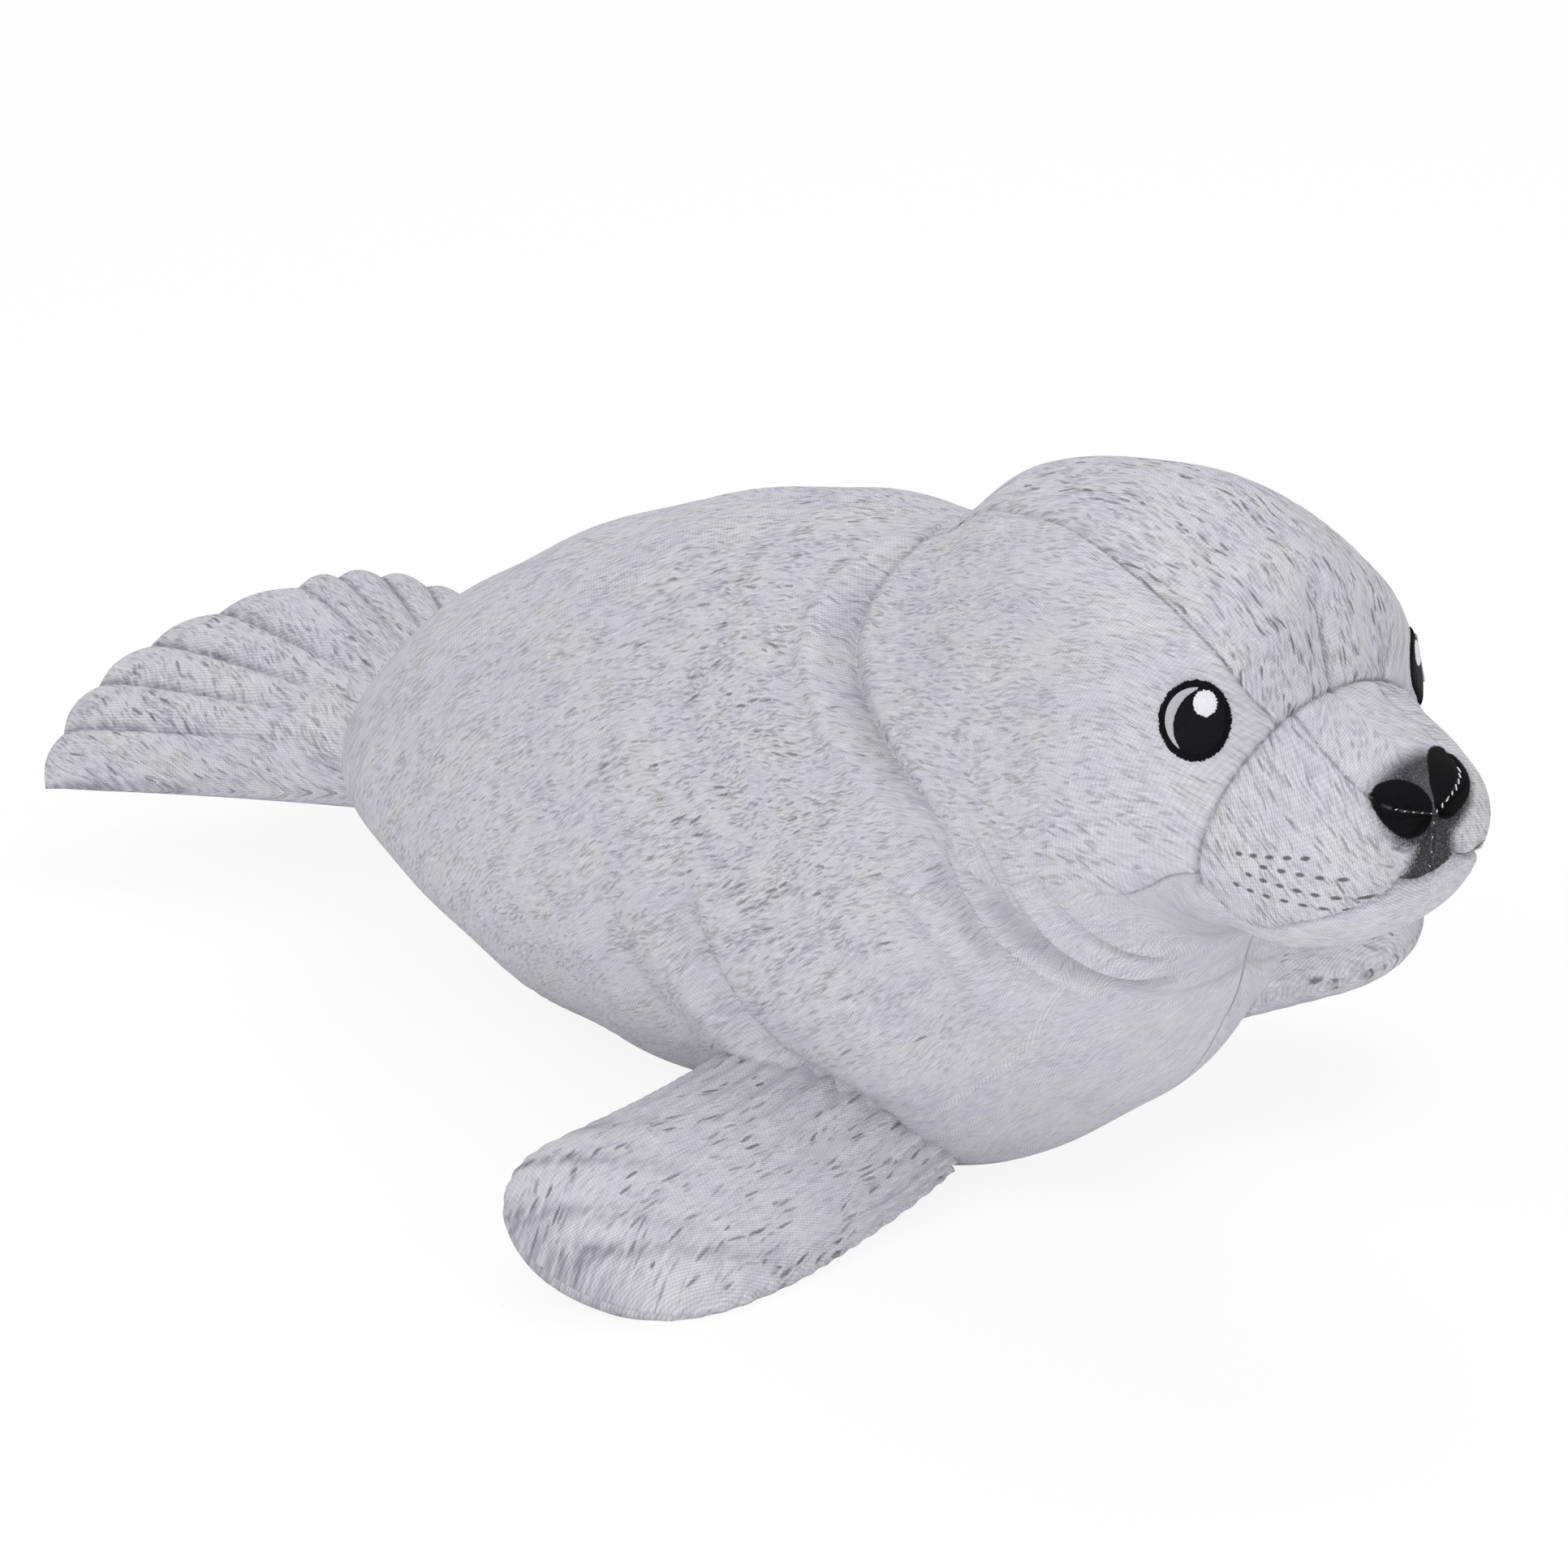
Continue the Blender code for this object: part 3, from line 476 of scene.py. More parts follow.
def cloth_skin(station, line):
    """Points and normals of the sewn skin, which is the smooth skin moved along its normal by
    all the relief, and the distance to the nearest seam."""
    point = bare_skin(station, line)
    ahead = (bare_skin(station + NUDGE, line) - bare_skin(station - NUDGE, line)) / (2 * NUDGE)
    around = (bare_skin(station, line + NUDGE) - bare_skin(station, line - NUDGE)) / (2 * NUDGE)
    normal = unit(np.cross(around, ahead))
    stretch = np.linalg.norm(ahead, axis=-1)
    girth = np.linalg.norm(around, axis=-1)
    seams, nearest = seam_relief(station, line, stretch, girth)
    height = fold_height(station, angle_at(station, line)) + seams
    height = height + lumps(point) * np.clip((NOSE - station) / 1.5, 0, 1) + crease_relief(point)
    point = point + normal * height[..., None]
    point[..., 2] = np.maximum(point[..., 2], 0.0)
    return point, normal, nearest


print("depth of the neck crease: %.1f mm" % (-1000 * fold_height(np.array([NECK]), np.array([0.9]))[0]))

# %% [markdown]
# The grid has more rings and lines near the seams than between them, and every seam lies
# exactly on one of them. Each face then belongs to one panel. The print flows along each
# panel, so every corner of a face keeps its place on the cloth, in metres, and a number
# that shifts the print from one panel to the next.

# %% The body's grid and its mesh
RINGS = 372
LINES_PER_SIDE = 124
PRINT_SHIFT = 0.05         # metres along the cloth from one panel's print to the next


def uneven_steps(start, stop, count, thick_at, width, gain, weight):
    """Rising values whose density is a weight plus a bell at each seam, with seams kept exactly."""
    fine = np.linspace(start, stop, 6000)
    density = weight(fine) * (1 + sum(gain * bell((fine - place) / width) for place in thick_at))
    total = np.concatenate([[0], np.cumsum((density[1:] + density[:-1]) / 2)])
    steps = np.interp(np.linspace(0, total[-1], count), total, fine)
    for place in thick_at:
        steps[np.abs(steps - place).argmin()] = place
    return steps


def tube_faces(rings, columns):
    """Quads between neighbouring rings that close on themselves, and triangles at two poles."""
    ring = np.arange(rings - 1)[:, None] * columns
    here = np.arange(columns)[None]
    after = (here + 1) % columns
    quads = np.stack([ring + here, ring + after, ring + columns + after, ring + columns + here], -1)
    first, last = rings * columns, rings * columns + 1
    edge = (rings - 1) * columns
    start = np.stack([np.full(columns, first), after[0], here[0]], -1)
    end = np.stack([edge + here[0], edge + after[0], np.full(columns, last)], -1)
    return quads.reshape(-1, 4), start, end


def closed_tube(grid, poles):
    """Points and faces of a grid of rings that closes at two poles."""
    return np.vstack([grid.reshape(-1, 3), poles]), tube_faces(*grid.shape[:2])


def make_piece(name, points, faces, finish, cloth, marks=None):
    """A smooth mesh object on the root, with the cloth's place at each corner of each face."""
    mesh = bpy.data.meshes.new(name)
    mesh.from_pydata(points.tolist(), [], [face for group in faces for face in group.tolist()])
    mesh.shade_smooth()
    mesh.attributes.new("cloth", "FLOAT_VECTOR", "CORNER").data.foreach_set("vector", cloth.ravel())
    for key, values in (marks or {}).items():
        domain = "POINT" if len(values) == len(points) else "FACE"
        mesh.attributes.new(key, "FLOAT", domain).data.foreach_set("value", values)
    mesh.materials.append(finish)
    piece = add_thing(name, mesh)
    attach(piece, "root")
    return piece


def cloth_corners(places, faces, turn=0.0, number=0.0):
    """Places of all face corners, turned in degrees and shifted by the number of their panel."""
    corners = np.concatenate([group.ravel() for group in faces])
    sides = np.concatenate([np.full(len(group), group.shape[1]) for group in faces])
    turn, number = (np.repeat(np.broadcast_to(value, sides.shape), sides)
                    for value in (np.radians(turn), number))
    along, across = places[corners].T
    return np.stack([along * np.cos(turn) - across * np.sin(turn) + number * PRINT_SHIFT,
                     along * np.sin(turn) + across * np.cos(turn), 0 * along], -1)


def path_lengths(points, axis):
    """Length walked along one direction of a grid of points, from its first row."""
    steps = np.linalg.norm(np.diff(points, axis=axis), axis=-1)
    return np.concatenate([np.zeros_like(np.take(steps, [0], axis)), np.cumsum(steps, axis=axis)], axis)


def panel_of(station, line):
    """Panel number of each cell, from its station and line: 0 side, 1 gusset, 2 cheek, 3 bridge,
    4 muzzle side, 5 belly and throat."""
    size = np.abs(line)
    panel = np.where(size < BELLY, 0, 5)
    head = np.where(size < GUSSET, 1, np.where(size < CHEEK, 2, 5))
    panel = np.where(station > NECK, head, panel)
    muzzle = np.where(size < BRIDGE, 3, np.where((size > LIP) & (station < MOUTH), 5, 4))
    return np.where(station > MUZZLE, muzzle, panel)


def body_grid():
    """Stations of the rings and lines of the columns, closer together near the seams."""
    fine = np.linspace(0.02, NOSE - 0.012, 6000)
    size = np.linalg.norm(np.gradient(bare_skin(fine, np.full(fine.shape, 7.0)), fine, axis=0), axis=-1)
    stations = uneven_steps(0.02, NOSE - 0.012, RINGS, (NECK, MUZZLE, MOUTH), 0.09, 1.6,
                            lambda s: np.interp(s, fine, size) + 0.012)
    half = uneven_steps(0.0, MIDDLE, LINES_PER_SIDE + 1, SEAM_LINES, 0.16, 1.5, np.ones_like)
    return stations, np.concatenate([-half[::-1][:-1], half[:-1]])


stations, lines = body_grid()
station_grid, line_grid = np.meshgrid(stations, lines, indexing="ij")
body_points, body_normals, body_seams = cloth_skin(station_grid, line_grid)
print("body grid:", body_points.shape[:2])

# %% [markdown]
# Each panel was cut from a printed sheet, so its fur runs in a direction of its own. An
# unwrap could give the places on the cloth. Distances walked along the rings and lines are
# simpler and keep the scale of the print. On the cheeks and the muzzle the lines fan out,
# so there the print is laid on flat, from the side or from above.

# %% Places on the cloth, and the panels' print
# For each panel: turn of the print in degrees, share of coarse marks, share of fine fur
PANEL_PRINT = ((12, 0.05, 0.72), (0, 1.0, 0.80), (-12, 0.0, 0.85),
               (35, 0.0, 0.60), (62, 0.20, 1.00), (6, 0.0, 0.38))
# The marks behind the neck: station of their middle, spread, more coarse and more fine marks
NECK_MARKS = (5.4, 0.9, 0.50, 0.22)
# Fine fur lost by the sides down to the belly, the cheeks and the muzzle's sides to the front
BELLY_LOSS, CHEEK_LOSS, MUZZLE_LOSS = 0.32, 0.30, 0.20


def body_cloth():
    """Along: metres from the rump. Across: metres from the spine, on both sides of it."""
    along = path_lengths(body_points, 0)
    around = path_lengths(body_points, 1)
    across = around - around[:, [LINES_PER_SIDE]]
    return np.stack([along, across], -1).reshape(-1, 2)


def body_cells():
    """The station and line at the middle of each face."""
    mid_station = (stations[1:] + stations[:-1]) / 2
    mid_line = (lines + np.append(lines[1:], MIDDLE)) / 2
    cells = np.stack(np.meshgrid(mid_station, mid_line, indexing="ij"), -1).reshape(-1, 2)
    ends = [np.stack([np.full(len(lines), place), mid_line], -1) for place in (0.01, NOSE - 0.005)]
    return np.vstack([cells] + ends)


def build_body(finish):
    """The whole sewn body as one closed skin."""
    station, line = body_cells().T
    panel = panel_of(station, line)
    poles = bare_skin(np.array([0.0, NOSE]), np.zeros(2))
    points, faces = closed_tube(body_points, poles)
    places = body_cloth()
    places = np.vstack([places, places[:1], places[-1:]])
    turn, coarse, fine = np.array(PANEL_PRINT, float)[panel].T
    above_belly = np.clip((BELLY - np.abs(line)) / 3, 0, 1)
    middle, spread, more_coarse, more_fine = NECK_MARKS
    near_neck = (panel == 0) * bell((station - middle) / spread) * above_belly
    along_cheek = (panel == 2) * np.clip((station - NECK) / (MUZZLE - NECK), 0, 1)
    along_muzzle = (panel == 4) * np.clip(station - MUZZLE, 0, 1)
    coarse = coarse + more_coarse * near_neck
    fine = fine + more_fine * near_neck - BELLY_LOSS * (panel == 0) * (1 - above_belly)
    fine = fine - CHEEK_LOSS * along_cheek - MUZZLE_LOSS * along_muzzle
    number = panel * 3.7 + (line > 0) * 31.0
    turn = turn * np.sign(line)
    cloth = cloth_corners(places, faces, turn, number)
    sizes = [len(face) for group in faces for face in group]
    corners = np.repeat(panel + 10 * (station > MUZZLE), sizes)[:, None]
    x, y, z = points.T
    out = np.abs(y)
    # Where a panel's print lies flat: panels, with 10 more on the muzzle, share of turn, place
    flat_prints = (((2,), 1.0, (x, (z - out) * 0.85)), ((14, 15), 0.8, ((x - out) * 0.8, z)),
                   ((13,), 1.0, ((x - z) * 0.8, y)))
    for panels, share, place in flat_prints:
        flat = cloth_corners(np.stack(place, -1), faces, turn * share, number)
        cloth = np.where(np.isin(corners, panels), flat, cloth)
    ink = np.isin(panel, (3, 4)).astype(float)
    gaps = np.append(body_seams.ravel(), (1.0, 1.0))
    marks = {"coarse_marks": coarse, "fine_fur": fine, "nose_ink": ink, "seam_gap": gaps}
    body = make_piece("body_skin", points, faces, finish, cloth, marks)
    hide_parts("forehead_gusset", "muzzle_bridge", "belly_and_throat_panel", "body_filling",
                "body_side_right", "body_side_left", "cheek_right", "cheek_left", "muzzle_side_right",
                "muzzle_side_left", "nose_field_print", "nostril_print_right", "nostril_print_left")


print("body faces:", len(stations) * len(lines))

# %% [markdown]
# The fur on the cloth is printed. Three patterns make it: fine fur that is lighter and
# darker by turns, coarse dark dashes in loose groups, and slow patches of lavender and
# warm grey below both. Soft fur is noise that is long along the cloth and narrow across
# it, with its lines bent by a slower noise. Hairs and dashes are short strokes in the
# cells of a scatter, each at its own tilt. The knit itself shows as fine rows, with
# painted shade where the rows lie low.

# %% Printed knit
PALE_LAVENDER = (0.580, 0.565, 0.640, 1.0)
WARM_WHITE = (0.610, 0.603, 0.632, 1.0)
PALE_FUR = (0.725, 0.715, 0.765, 1.0)
STREAK_LAVENDER = (0.300, 0.285, 0.355, 1.0)
STREAK_OLIVE = (0.320, 0.312, 0.305, 1.0)
MARK_GREY = (0.165, 0.160, 0.170, 1.0)
INK_GREY = (0.022, 0.022, 0.025, 1.0)
INK_FADED = (0.070, 0.069, 0.075, 1.0)
INK_BLACK = (0.004, 0.004, 0.005, 1.0)
BAND_GREY = (0.200, 0.187, 0.245, 1.0)
DASH_GREY = (0.120, 0.116, 0.124, 1.0)
KNIT_PITCH = 0.0008
# Share by which painted shade darkens the knit where its rows lie low
KNIT_PAINTED_SHADE = 0.20
KNIT_BUMP = 0.00006
MATT = dict(Roughness=0.9, Specular_IOR_Level=0.10)
# Size of a stroke's cell along and across the cloth, half its length and width, and its tilt
HAIR = dict(cell=(0.0042, 0.0015), half=(0.0030, 0.00052), tilt=0.6)
DASH = dict(cell=(0.0070, 0.0026), half=(0.0042, 0.00072), tilt=0.5)


def strokes(finish, place, grain, cell, half, tilt):
    """Short strokes, one in each cell of a scatter: an oval round the cell's own point, sheared
    by a random tilt, with a rough edge. Gives the strokes and three random values for each."""
    spread = finish.vector("DIVIDE", place, (*cell, 1.0))
    scatter = finish.add("TexVoronoi", {"feature": "F1", "voronoi_dimensions": "2D"},
                         {"Vector": spread, "Scale": 1.0, "Randomness": 1.0}, "Color")
    chances = finish.parts(scatter)
    gap = finish.vector("SUBTRACT", spread, scatter.other("Position"))
    ahead, aside, _ = finish.parts(finish.vector("MULTIPLY", gap, (*cell, 0.0)))
    aside = aside - ahead * (chances[2] - 0.5) * tilt
    shape = (ahead / half[0])**2.0 + (aside / half[1])**2.0 + grain
    return 1 - finish.step(shape, 0.0, 1.0), chances


def fur_print(finish, coarse, fine):
    """Colour of the printed fur, from the cloth's own places."""
    cloth = finish.attribute("cloth")
    drift = finish.add("TexNoise", None, {"Vector": cloth, "Scale": 30.0, "Detail": 1.0}, 1)
    drift = finish.vector("SUBTRACT", drift, (0.5, 0.5, 0.5))
    bent = finish.vector("MULTIPLY_ADD", drift, (0.003, 0.0085, 0.0), cloth)
    tint = finish.step(finish.noise(cloth, (45, 60, 1), 3.0, 0.6), 0.35, 0.65)
    grain = (finish.noise(bent, (700, 2200, 1)) - 0.5) * 1.6
    colour = finish.blend(tint, PALE_LAVENDER, WARM_WHITE)
    strands = finish.step(finish.noise(bent, (200, 1500, 1)), 0.50, 0.68)
    colour = finish.blend(strands * 0.6, colour, PALE_FUR)
    crowd = finish.step(finish.noise(cloth, (75, 95, 1), 3.0), 0.30, 0.68)
    shade = finish.noise(bent, (230, 1250, 1), 2.0, 0.55, (9.1, 4.7, 0.3))
    soft = finish.step(shade, 0.44, 0.66) * (0.3 + 0.7 * crowd) * fine
    ink = finish.blend(tint, STREAK_LAVENDER, STREAK_OLIVE)
    colour = finish.blend(soft * 0.75, colour, ink)
    hair, (luck, weight, _) = strokes(finish, bent, grain, **HAIR)
    hair = hair * finish.step(luck + crowd * 0.45, 0.60, 0.90) * (0.4 + 0.6 * weight)
    colour = finish.blend(hair * fine * 0.9, colour, finish.blend(weight * 0.35, ink, MARK_GREY))
    groups = finish.step(finish.noise(cloth, (70, 90, 1)), 0.36, 0.62)
    dash, (luck, weight, _) = strokes(finish, bent, grain, **DASH)
    dash = dash * finish.step(luck + groups * coarse * 0.60, 0.96, 1.10) * (0.4 + 0.6 * weight)
    depth = finish.step(coarse, 0.5, 1.0)
    colour = finish.blend(dash * 0.9, colour, finish.blend(depth, MARK_GREY, DASH_GREY))
    return colour, cloth


def dress(finish, colour, cloth):
    """The knit's rows, which are two sets of slanting waves, as painted shade that darkens the
    colour where the rows lie low, and as a bump, with fuzz in the bump."""
    along, across, _ = finish.parts(cloth)
    first = ((along * 0.5 + across * 0.87) * (2 * math.pi / KNIT_PITCH)).sine()
    second = ((along * 0.9 - across * 0.44) * (2 * math.pi / KNIT_PITCH / 1.4)).sine()
    rows = first * 0.65 + second * 0.35
    fuzz = finish.noise(cloth, (1100, 1100, 1))
    # Painted shade: the colour darkens where the knit's rows lie low.
    low = 1 - finish.step(rows + fuzz, -0.2, 1.2)
    shaded = finish.vector("MULTIPLY", colour, 1 - low * KNIT_PAINTED_SHADE)
    return finish.wear(shaded, rows + fuzz * 1.5, KNIT_BUMP)


NOSTRIL = (0.2300, 0.0103, 0.1690)       # middle of the right nostril, sideways without its sign
NOSTRIL_RADII = (0.0103, 0.0078)
NOSTRIL_LEAN = math.radians(33)
LEFT_NOSTRIL_RISE = 0.0025
LEFT_NOSTRIL_SHARE = 1.12  # its size as a share of the right one's
# The nose's sloping cloth, outwards and upwards, as shares of ahead, sideways and up
NOSE_OUTWARD = (-0.205, 0.979, 0.0)
NOSE_UPWARD = (-0.435, -0.091, 0.896)
INK_SCALE = (1500, 1500, 1500)
# Half width, half height and height of the middle: the dark field and its faded centre
NOSE_FIELD = (0.0200, 0.0130, 0.1675)
NOSE_FADED = (0.0085, 0.0090, 0.1700)


def nose_print(finish, colour):
    """Two black ovals in a soft dark field. The ovals are drawn in the sloping plane of the
    cloth there: one way outwards and a little back, the other upwards and back."""
    place = finish.add("TexCoord", output="Object")
    x, y, z = finish.parts(place)
    side = y.size()
    panel = finish.attribute("nose_ink", "Fac")
    grain = (finish.noise(place, INK_SCALE) - 0.5) * 0.5
    wide, faded = ((side / half_width)**2.0 + ((z - height) / half_height)**2.0 + grain
                   for half_width, half_height, height in (NOSE_FIELD, NOSE_FADED))
    stem = side / (0.0100 + (0.1540 - z).most(0.0) * 0.7) + grain
    stem = (1 - finish.step(stem, 0.55, 1.25)) * (1 - finish.step(z, 0.160, 0.170))
    field = (1 - finish.step(wide, 0.55, 1.30)).most(stem)
    field = field * finish.step(x + grain * 0.004, 0.2165, 0.2240) * panel
    ink = finish.blend((1 - finish.step(faded, 0.0, 1.0)) * 0.8, INK_GREY, INK_FADED)
    specks = finish.step(finish.noise(place, INK_SCALE, 1.0), 0.45, 0.70)
    ink = finish.blend(specks * 0.55, ink, MARK_GREY)
    colour = finish.blend(field * 0.97, colour, ink)
    left = finish.step(y, -0.0001, 0.0001)
    growth = left * (LEFT_NOSTRIL_SHARE - 1) + 1
    away = (x - NOSTRIL[0], side - NOSTRIL[1], z - NOSTRIL[2] - left * LEFT_NOSTRIL_RISE)
    outward, upward = (sum(part * share for part, share in zip(away, way))
                       for way in (NOSE_OUTWARD, NOSE_UPWARD))
    cosine, sine = math.cos(NOSTRIL_LEAN), math.sin(NOSTRIL_LEAN)
    major = (outward * cosine + upward * sine) / growth / NOSTRIL_RADII[0]
    minor = (upward * cosine - outward * sine) / growth / NOSTRIL_RADII[1]
    nostril = (1 - finish.step(major**2.0 + minor**2.0 + grain * 0.15, 0.93, 1.07)) * panel
    return finish.blend(nostril, colour, INK_BLACK), place


# Rows of whisker dots on the muzzle's side: first and last dot (x, z), number of dots
WHISKER_ROWS = (
    ((0.2008, 0.1572), (0.2176, 0.1586), 5),
    ((0.2082, 0.1550), (0.2262, 0.1532), 5),
    ((0.2044, 0.1520), (0.2290, 0.1466), 7),
    ((0.2005, 0.1480), (0.2262, 0.1430), 7),
)


def whisker_print(finish, colour, place):
    """Rows of short dashes: along a row the place repeats, and each repeat holds one dash."""
    x, _, z = finish.parts(place)
    dots = None
    for (x0, z0), (x1, z1), count in WHISKER_ROWS:
        length = math.hypot(x1 - x0, z1 - z0)
        way_x, way_z = (x1 - x0) / length, (z1 - z0) / length
        pitch = length / (count - 1)
        along = (x - x0) * way_x + (z - z0) * way_z
        off = (z - z0) * way_x - (x - x0) * way_z
        nearest = finish.maths("ROUND", along / pitch).most(0.0).least(count - 1.0)
        gap = along - nearest * pitch
        dot = 1 - finish.step((gap / 0.0012)**2.0 + (off / 0.0007)**2.0, 0.2, 1.4)
        dots = dot if dots is None else dots.most(dot)
    dots = dots * finish.attribute("nose_ink", "Fac")
    return finish.blend(dots * 0.95, colour, DASH_GREY)


def body_finish():
    """Knit of the head and body, with the printed nose, whisker dots and painted shade along the seams.
    """
    finish = Finish("body_knit", **MATT)
    coarse = finish.attribute("coarse_marks", "Fac")
    fine = finish.attribute("fine_fur", "Fac")
    colour, cloth = fur_print(finish, coarse, fine)
    colour, place = nose_print(finish, colour)
    colour = whisker_print(finish, colour, place)
    # Painted shade: a dark line in the groove of each seam, broken into dashes by noise.
    broken = finish.step(finish.noise(place, (500, 500, 500), 1.0), 0.3, 0.6)
    line = 1 - finish.step(finish.attribute("seam_gap", "Fac"), 0.0002, 0.0007)
    return dress(finish, finish.blend(line * broken * 0.5, colour, MARK_GREY), cloth)


def flipper_finish(name, coarse, fine):
    """Knit of the flippers and the fan, with more and darker marks, and dark bands: printed on
    the flippers, and on the fan partly printed and partly painted shade in its valleys.
    """
    finish = Finish(name, **MATT)
    colour, cloth = fur_print(finish, coarse, fine)
    uneven = finish.step(finish.noise(cloth, (160, 420, 1), 3.0), 0.25, 0.65)
    band = finish.attribute("dark_band", "Fac") * uneven
    return dress(finish, finish.blend(band, colour, BAND_GREY), cloth)


build_body(body_finish())
print("spine's normal points up:", body_normals[len(stations) // 2, LINES_PER_SIDE, 2] > 0)

# %% [markdown]
# Each front flipper is two sheets sewn round their edge and stuffed, with a round tip. It
# is a tube of flat ovals along a drooping line. The seam runs round the edge, and the
# cloth beside it puckers. Both flippers have the same pattern and only lie differently.

# %% Front flippers
FLIPPER_ROOT = (0.048, 0.036)
FLIPPER_LENGTH = 0.129
FLIPPER_HALF_WIDTHS = (0.0355, 0.039)
FLIPPER_HALF_HEIGHTS = (0.018, 0.0155)
RIGHT_FLIPPER = dict(side=-1, height=0.025, sweep=-7.0, drop=8.4, curl=-0.019, roll=-23.0)
LEFT_FLIPPER = dict(side=1, height=0.037, sweep=-33.0, drop=-5.0, curl=-0.015, roll=0.0)
FLIPPER_ROWS = 130
FLIPPER_COLUMNS = 176
FLIPPER_SEAM = (0.0009, 0.0011)          # depth and width
FLIPPER_PUCKER = (0.0004, 0.0075)        # height and length
GATHERS = (0.0015, 25)                   # height and number round the root
# Soft dark bands of the print: (along, across) where each starts and where it ends
TOE_BANDS = (((0.088, -0.040), (0.070, -0.024)), ((0.109, -0.035), (0.082, -0.005)),
             ((0.128, -0.021), (0.094, 0.015)), ((0.126, 0.004), (0.080, 0.034)))
TOE_BAND_WIDTH = 0.0030


def flipper_frame(pose):
    """Directions along the flipper, across it and out of its upper face, and its root."""
    side = pose["side"]
    sweep, drop, roll = (math.radians(pose[key]) for key in ("sweep", "drop", "roll"))
    level = np.array([math.cos(sweep), side * math.sin(sweep), 0.0])
    outward = np.array([-math.sin(sweep), side * math.cos(sweep), 0.0])
    axis = outward * math.cos(drop) - np.array([0.0, 0.0, math.sin(drop)])
    upward = np.cross(level, axis) * -side
    upward = upward * np.sign(upward[2])
    across = level * math.cos(roll) + upward * math.sin(roll)
    normal = upward * math.cos(roll) - level * math.sin(roll)
    root = np.array([FLIPPER_ROOT[0], side * FLIPPER_ROOT[1], pose["height"]])
    return axis, across, normal, root


def flipper_points(pose, share, turn):
    """Flat ovals: width by the cosine and height by the sine of the turn, closing at the tip."""
    axis, across, normal, root = flipper_frame(pose)
    taper = np.minimum(share / 0.6, 1.0)
    wide, high = (first + (last - first) * taper
                  for first, last in (FLIPPER_HALF_WIDTHS, FLIPPER_HALF_HEIGHTS))
    round_from = 1 - FLIPPER_HALF_WIDTHS[1] / FLIPPER_LENGTH
    closing = np.clip((share - round_from) / (1 - round_from), 0.0, 1.0)
    end = np.sqrt(1 - closing**2.2)
    along = share * FLIPPER_LENGTH
    centre = root + along[..., None] * axis + (pose["curl"] * share**2)[..., None] * across
    edge = np.abs(np.sin(turn)) * high
    waves = 2 * np.pi * along / FLIPPER_PUCKER[1] + 1.5 * np.sin(along / 0.009) + np.cos(turn)
    relief = FLIPPER_PUCKER[0] * np.sin(waves) * np.exp(-edge / 0.005)
    relief = relief - FLIPPER_SEAM[0] * bell(edge / FLIPPER_SEAM[1])
    gathers = np.sin(GATHERS[1] * turn + 2.0 * np.sin(3 * turn)) * bell(share / 0.40)
    relief = relief + GATHERS[0] * gathers
    flat = (np.cos(turn) * (wide * end + relief))[..., None] * across
    return centre + flat + (np.sin(turn) * end**0.8 * (high + relief))[..., None] * normal


def build_flipper(word, pose, finish):
    """One front flipper with its seam, its puckers and the gathers at its root."""
    share = np.sin(np.linspace(0, np.pi / 2, FLIPPER_ROWS + 1)[1:-1])**1.2
    turn = -pose["side"] * 2 * np.pi * np.arange(FLIPPER_COLUMNS) / FLIPPER_COLUMNS
    share_grid, turn_grid = np.meshgrid(share, turn, indexing="ij")
    grid = flipper_points(pose, share_grid, turn_grid)
    poles = flipper_points(pose, np.array([0.0, 1.0]), np.zeros(2))
    axis, level, _, poles[0] = flipper_frame(pose)
    points, faces = closed_tube(grid, poles)
    points[:, 2] = np.maximum(points[:, 2], 0.0)
    along = (points - poles[0]) @ axis
    across = (points - poles[0]) @ level - pose["curl"] * (along / FLIPPER_LENGTH)**2
    bands = 0.6 * bell((FLIPPER_LENGTH - along) / 0.010)
    for start, end in TOE_BANDS:
        gap, passed = gap_to_line(np.stack([along, across], -1), start, end)
        bands = bands + bell(gap / TOE_BAND_WIDTH) * (1 - 0.75 * passed)
    bands = np.clip(bands, 0, 1) * 0.8
    places = np.stack([along, across + 0.12 * along - 700.0 * np.maximum(along, 0)**5], -1)
    edge_fall = np.sign(np.cos(turn_grid)) * (1 - np.abs(np.sin(turn_grid))) * FLIPPER_HALF_HEIGHTS[1]
    places[:-2, 1] += (edge_fall * np.clip((0.65 - share_grid) / 0.45, 0, 1)).ravel()
    upper = np.sin(turn_grid[:-1] + (turn[1] - turn[0]) / 2).ravel() > 0
    number = np.full(sum(len(group) for group in faces), 50.0 + 9 * pose["side"])
    number[:len(upper)] += upper * 5.3
    cloth = cloth_corners(places, faces, 0.0, number)
    name = "front_flipper_" + word
    flipper = make_piece(name, points, faces, finish, cloth, {"dark_band": bands})
    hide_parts(name + "_upper", name + "_lower", name + "_filling")


flipper_knit = flipper_finish("flipper_knit", 0.80, 0.48)
for word, pose in (("right", RIGHT_FLIPPER), ("left", LEFT_FLIPPER)):
    build_flipper(word, pose, flipper_knit)
    print("front flipper sewn:", word)

# %% [markdown]
# The hind fan is two lobes of five toes each, from one pair of sheets. Stitched valleys
# part the toes, and the edge is scalloped. Straight rays run from a short root to the
# edge, and the fan's thickness is lifted above and below that middle surface.

# %% Hind fan
FAN_ROOT = (-0.180, 0.0, 0.047)
FAN_ROOT_HALF_WIDTH = 0.025
FAN_ROOT_CROWN = 0.009
FAN_TIP = (0.107, 0.098, -0.014)         # back, sideways, up
FAN_NOTCH = (0.097, 0.034)               # back, up
FAN_BULGE = 0.023
FAN_ROLL = 2.6
FAN_SWING = -9.0
FAN_HALF_HEIGHT = 0.011
FAN_SCALLOP = 0.0026
FAN_VALLEY = 0.36          # share of the thickness that a valley takes away
TOES = 5
FAN_ROWS = 96
FAN_COLUMNS = 220


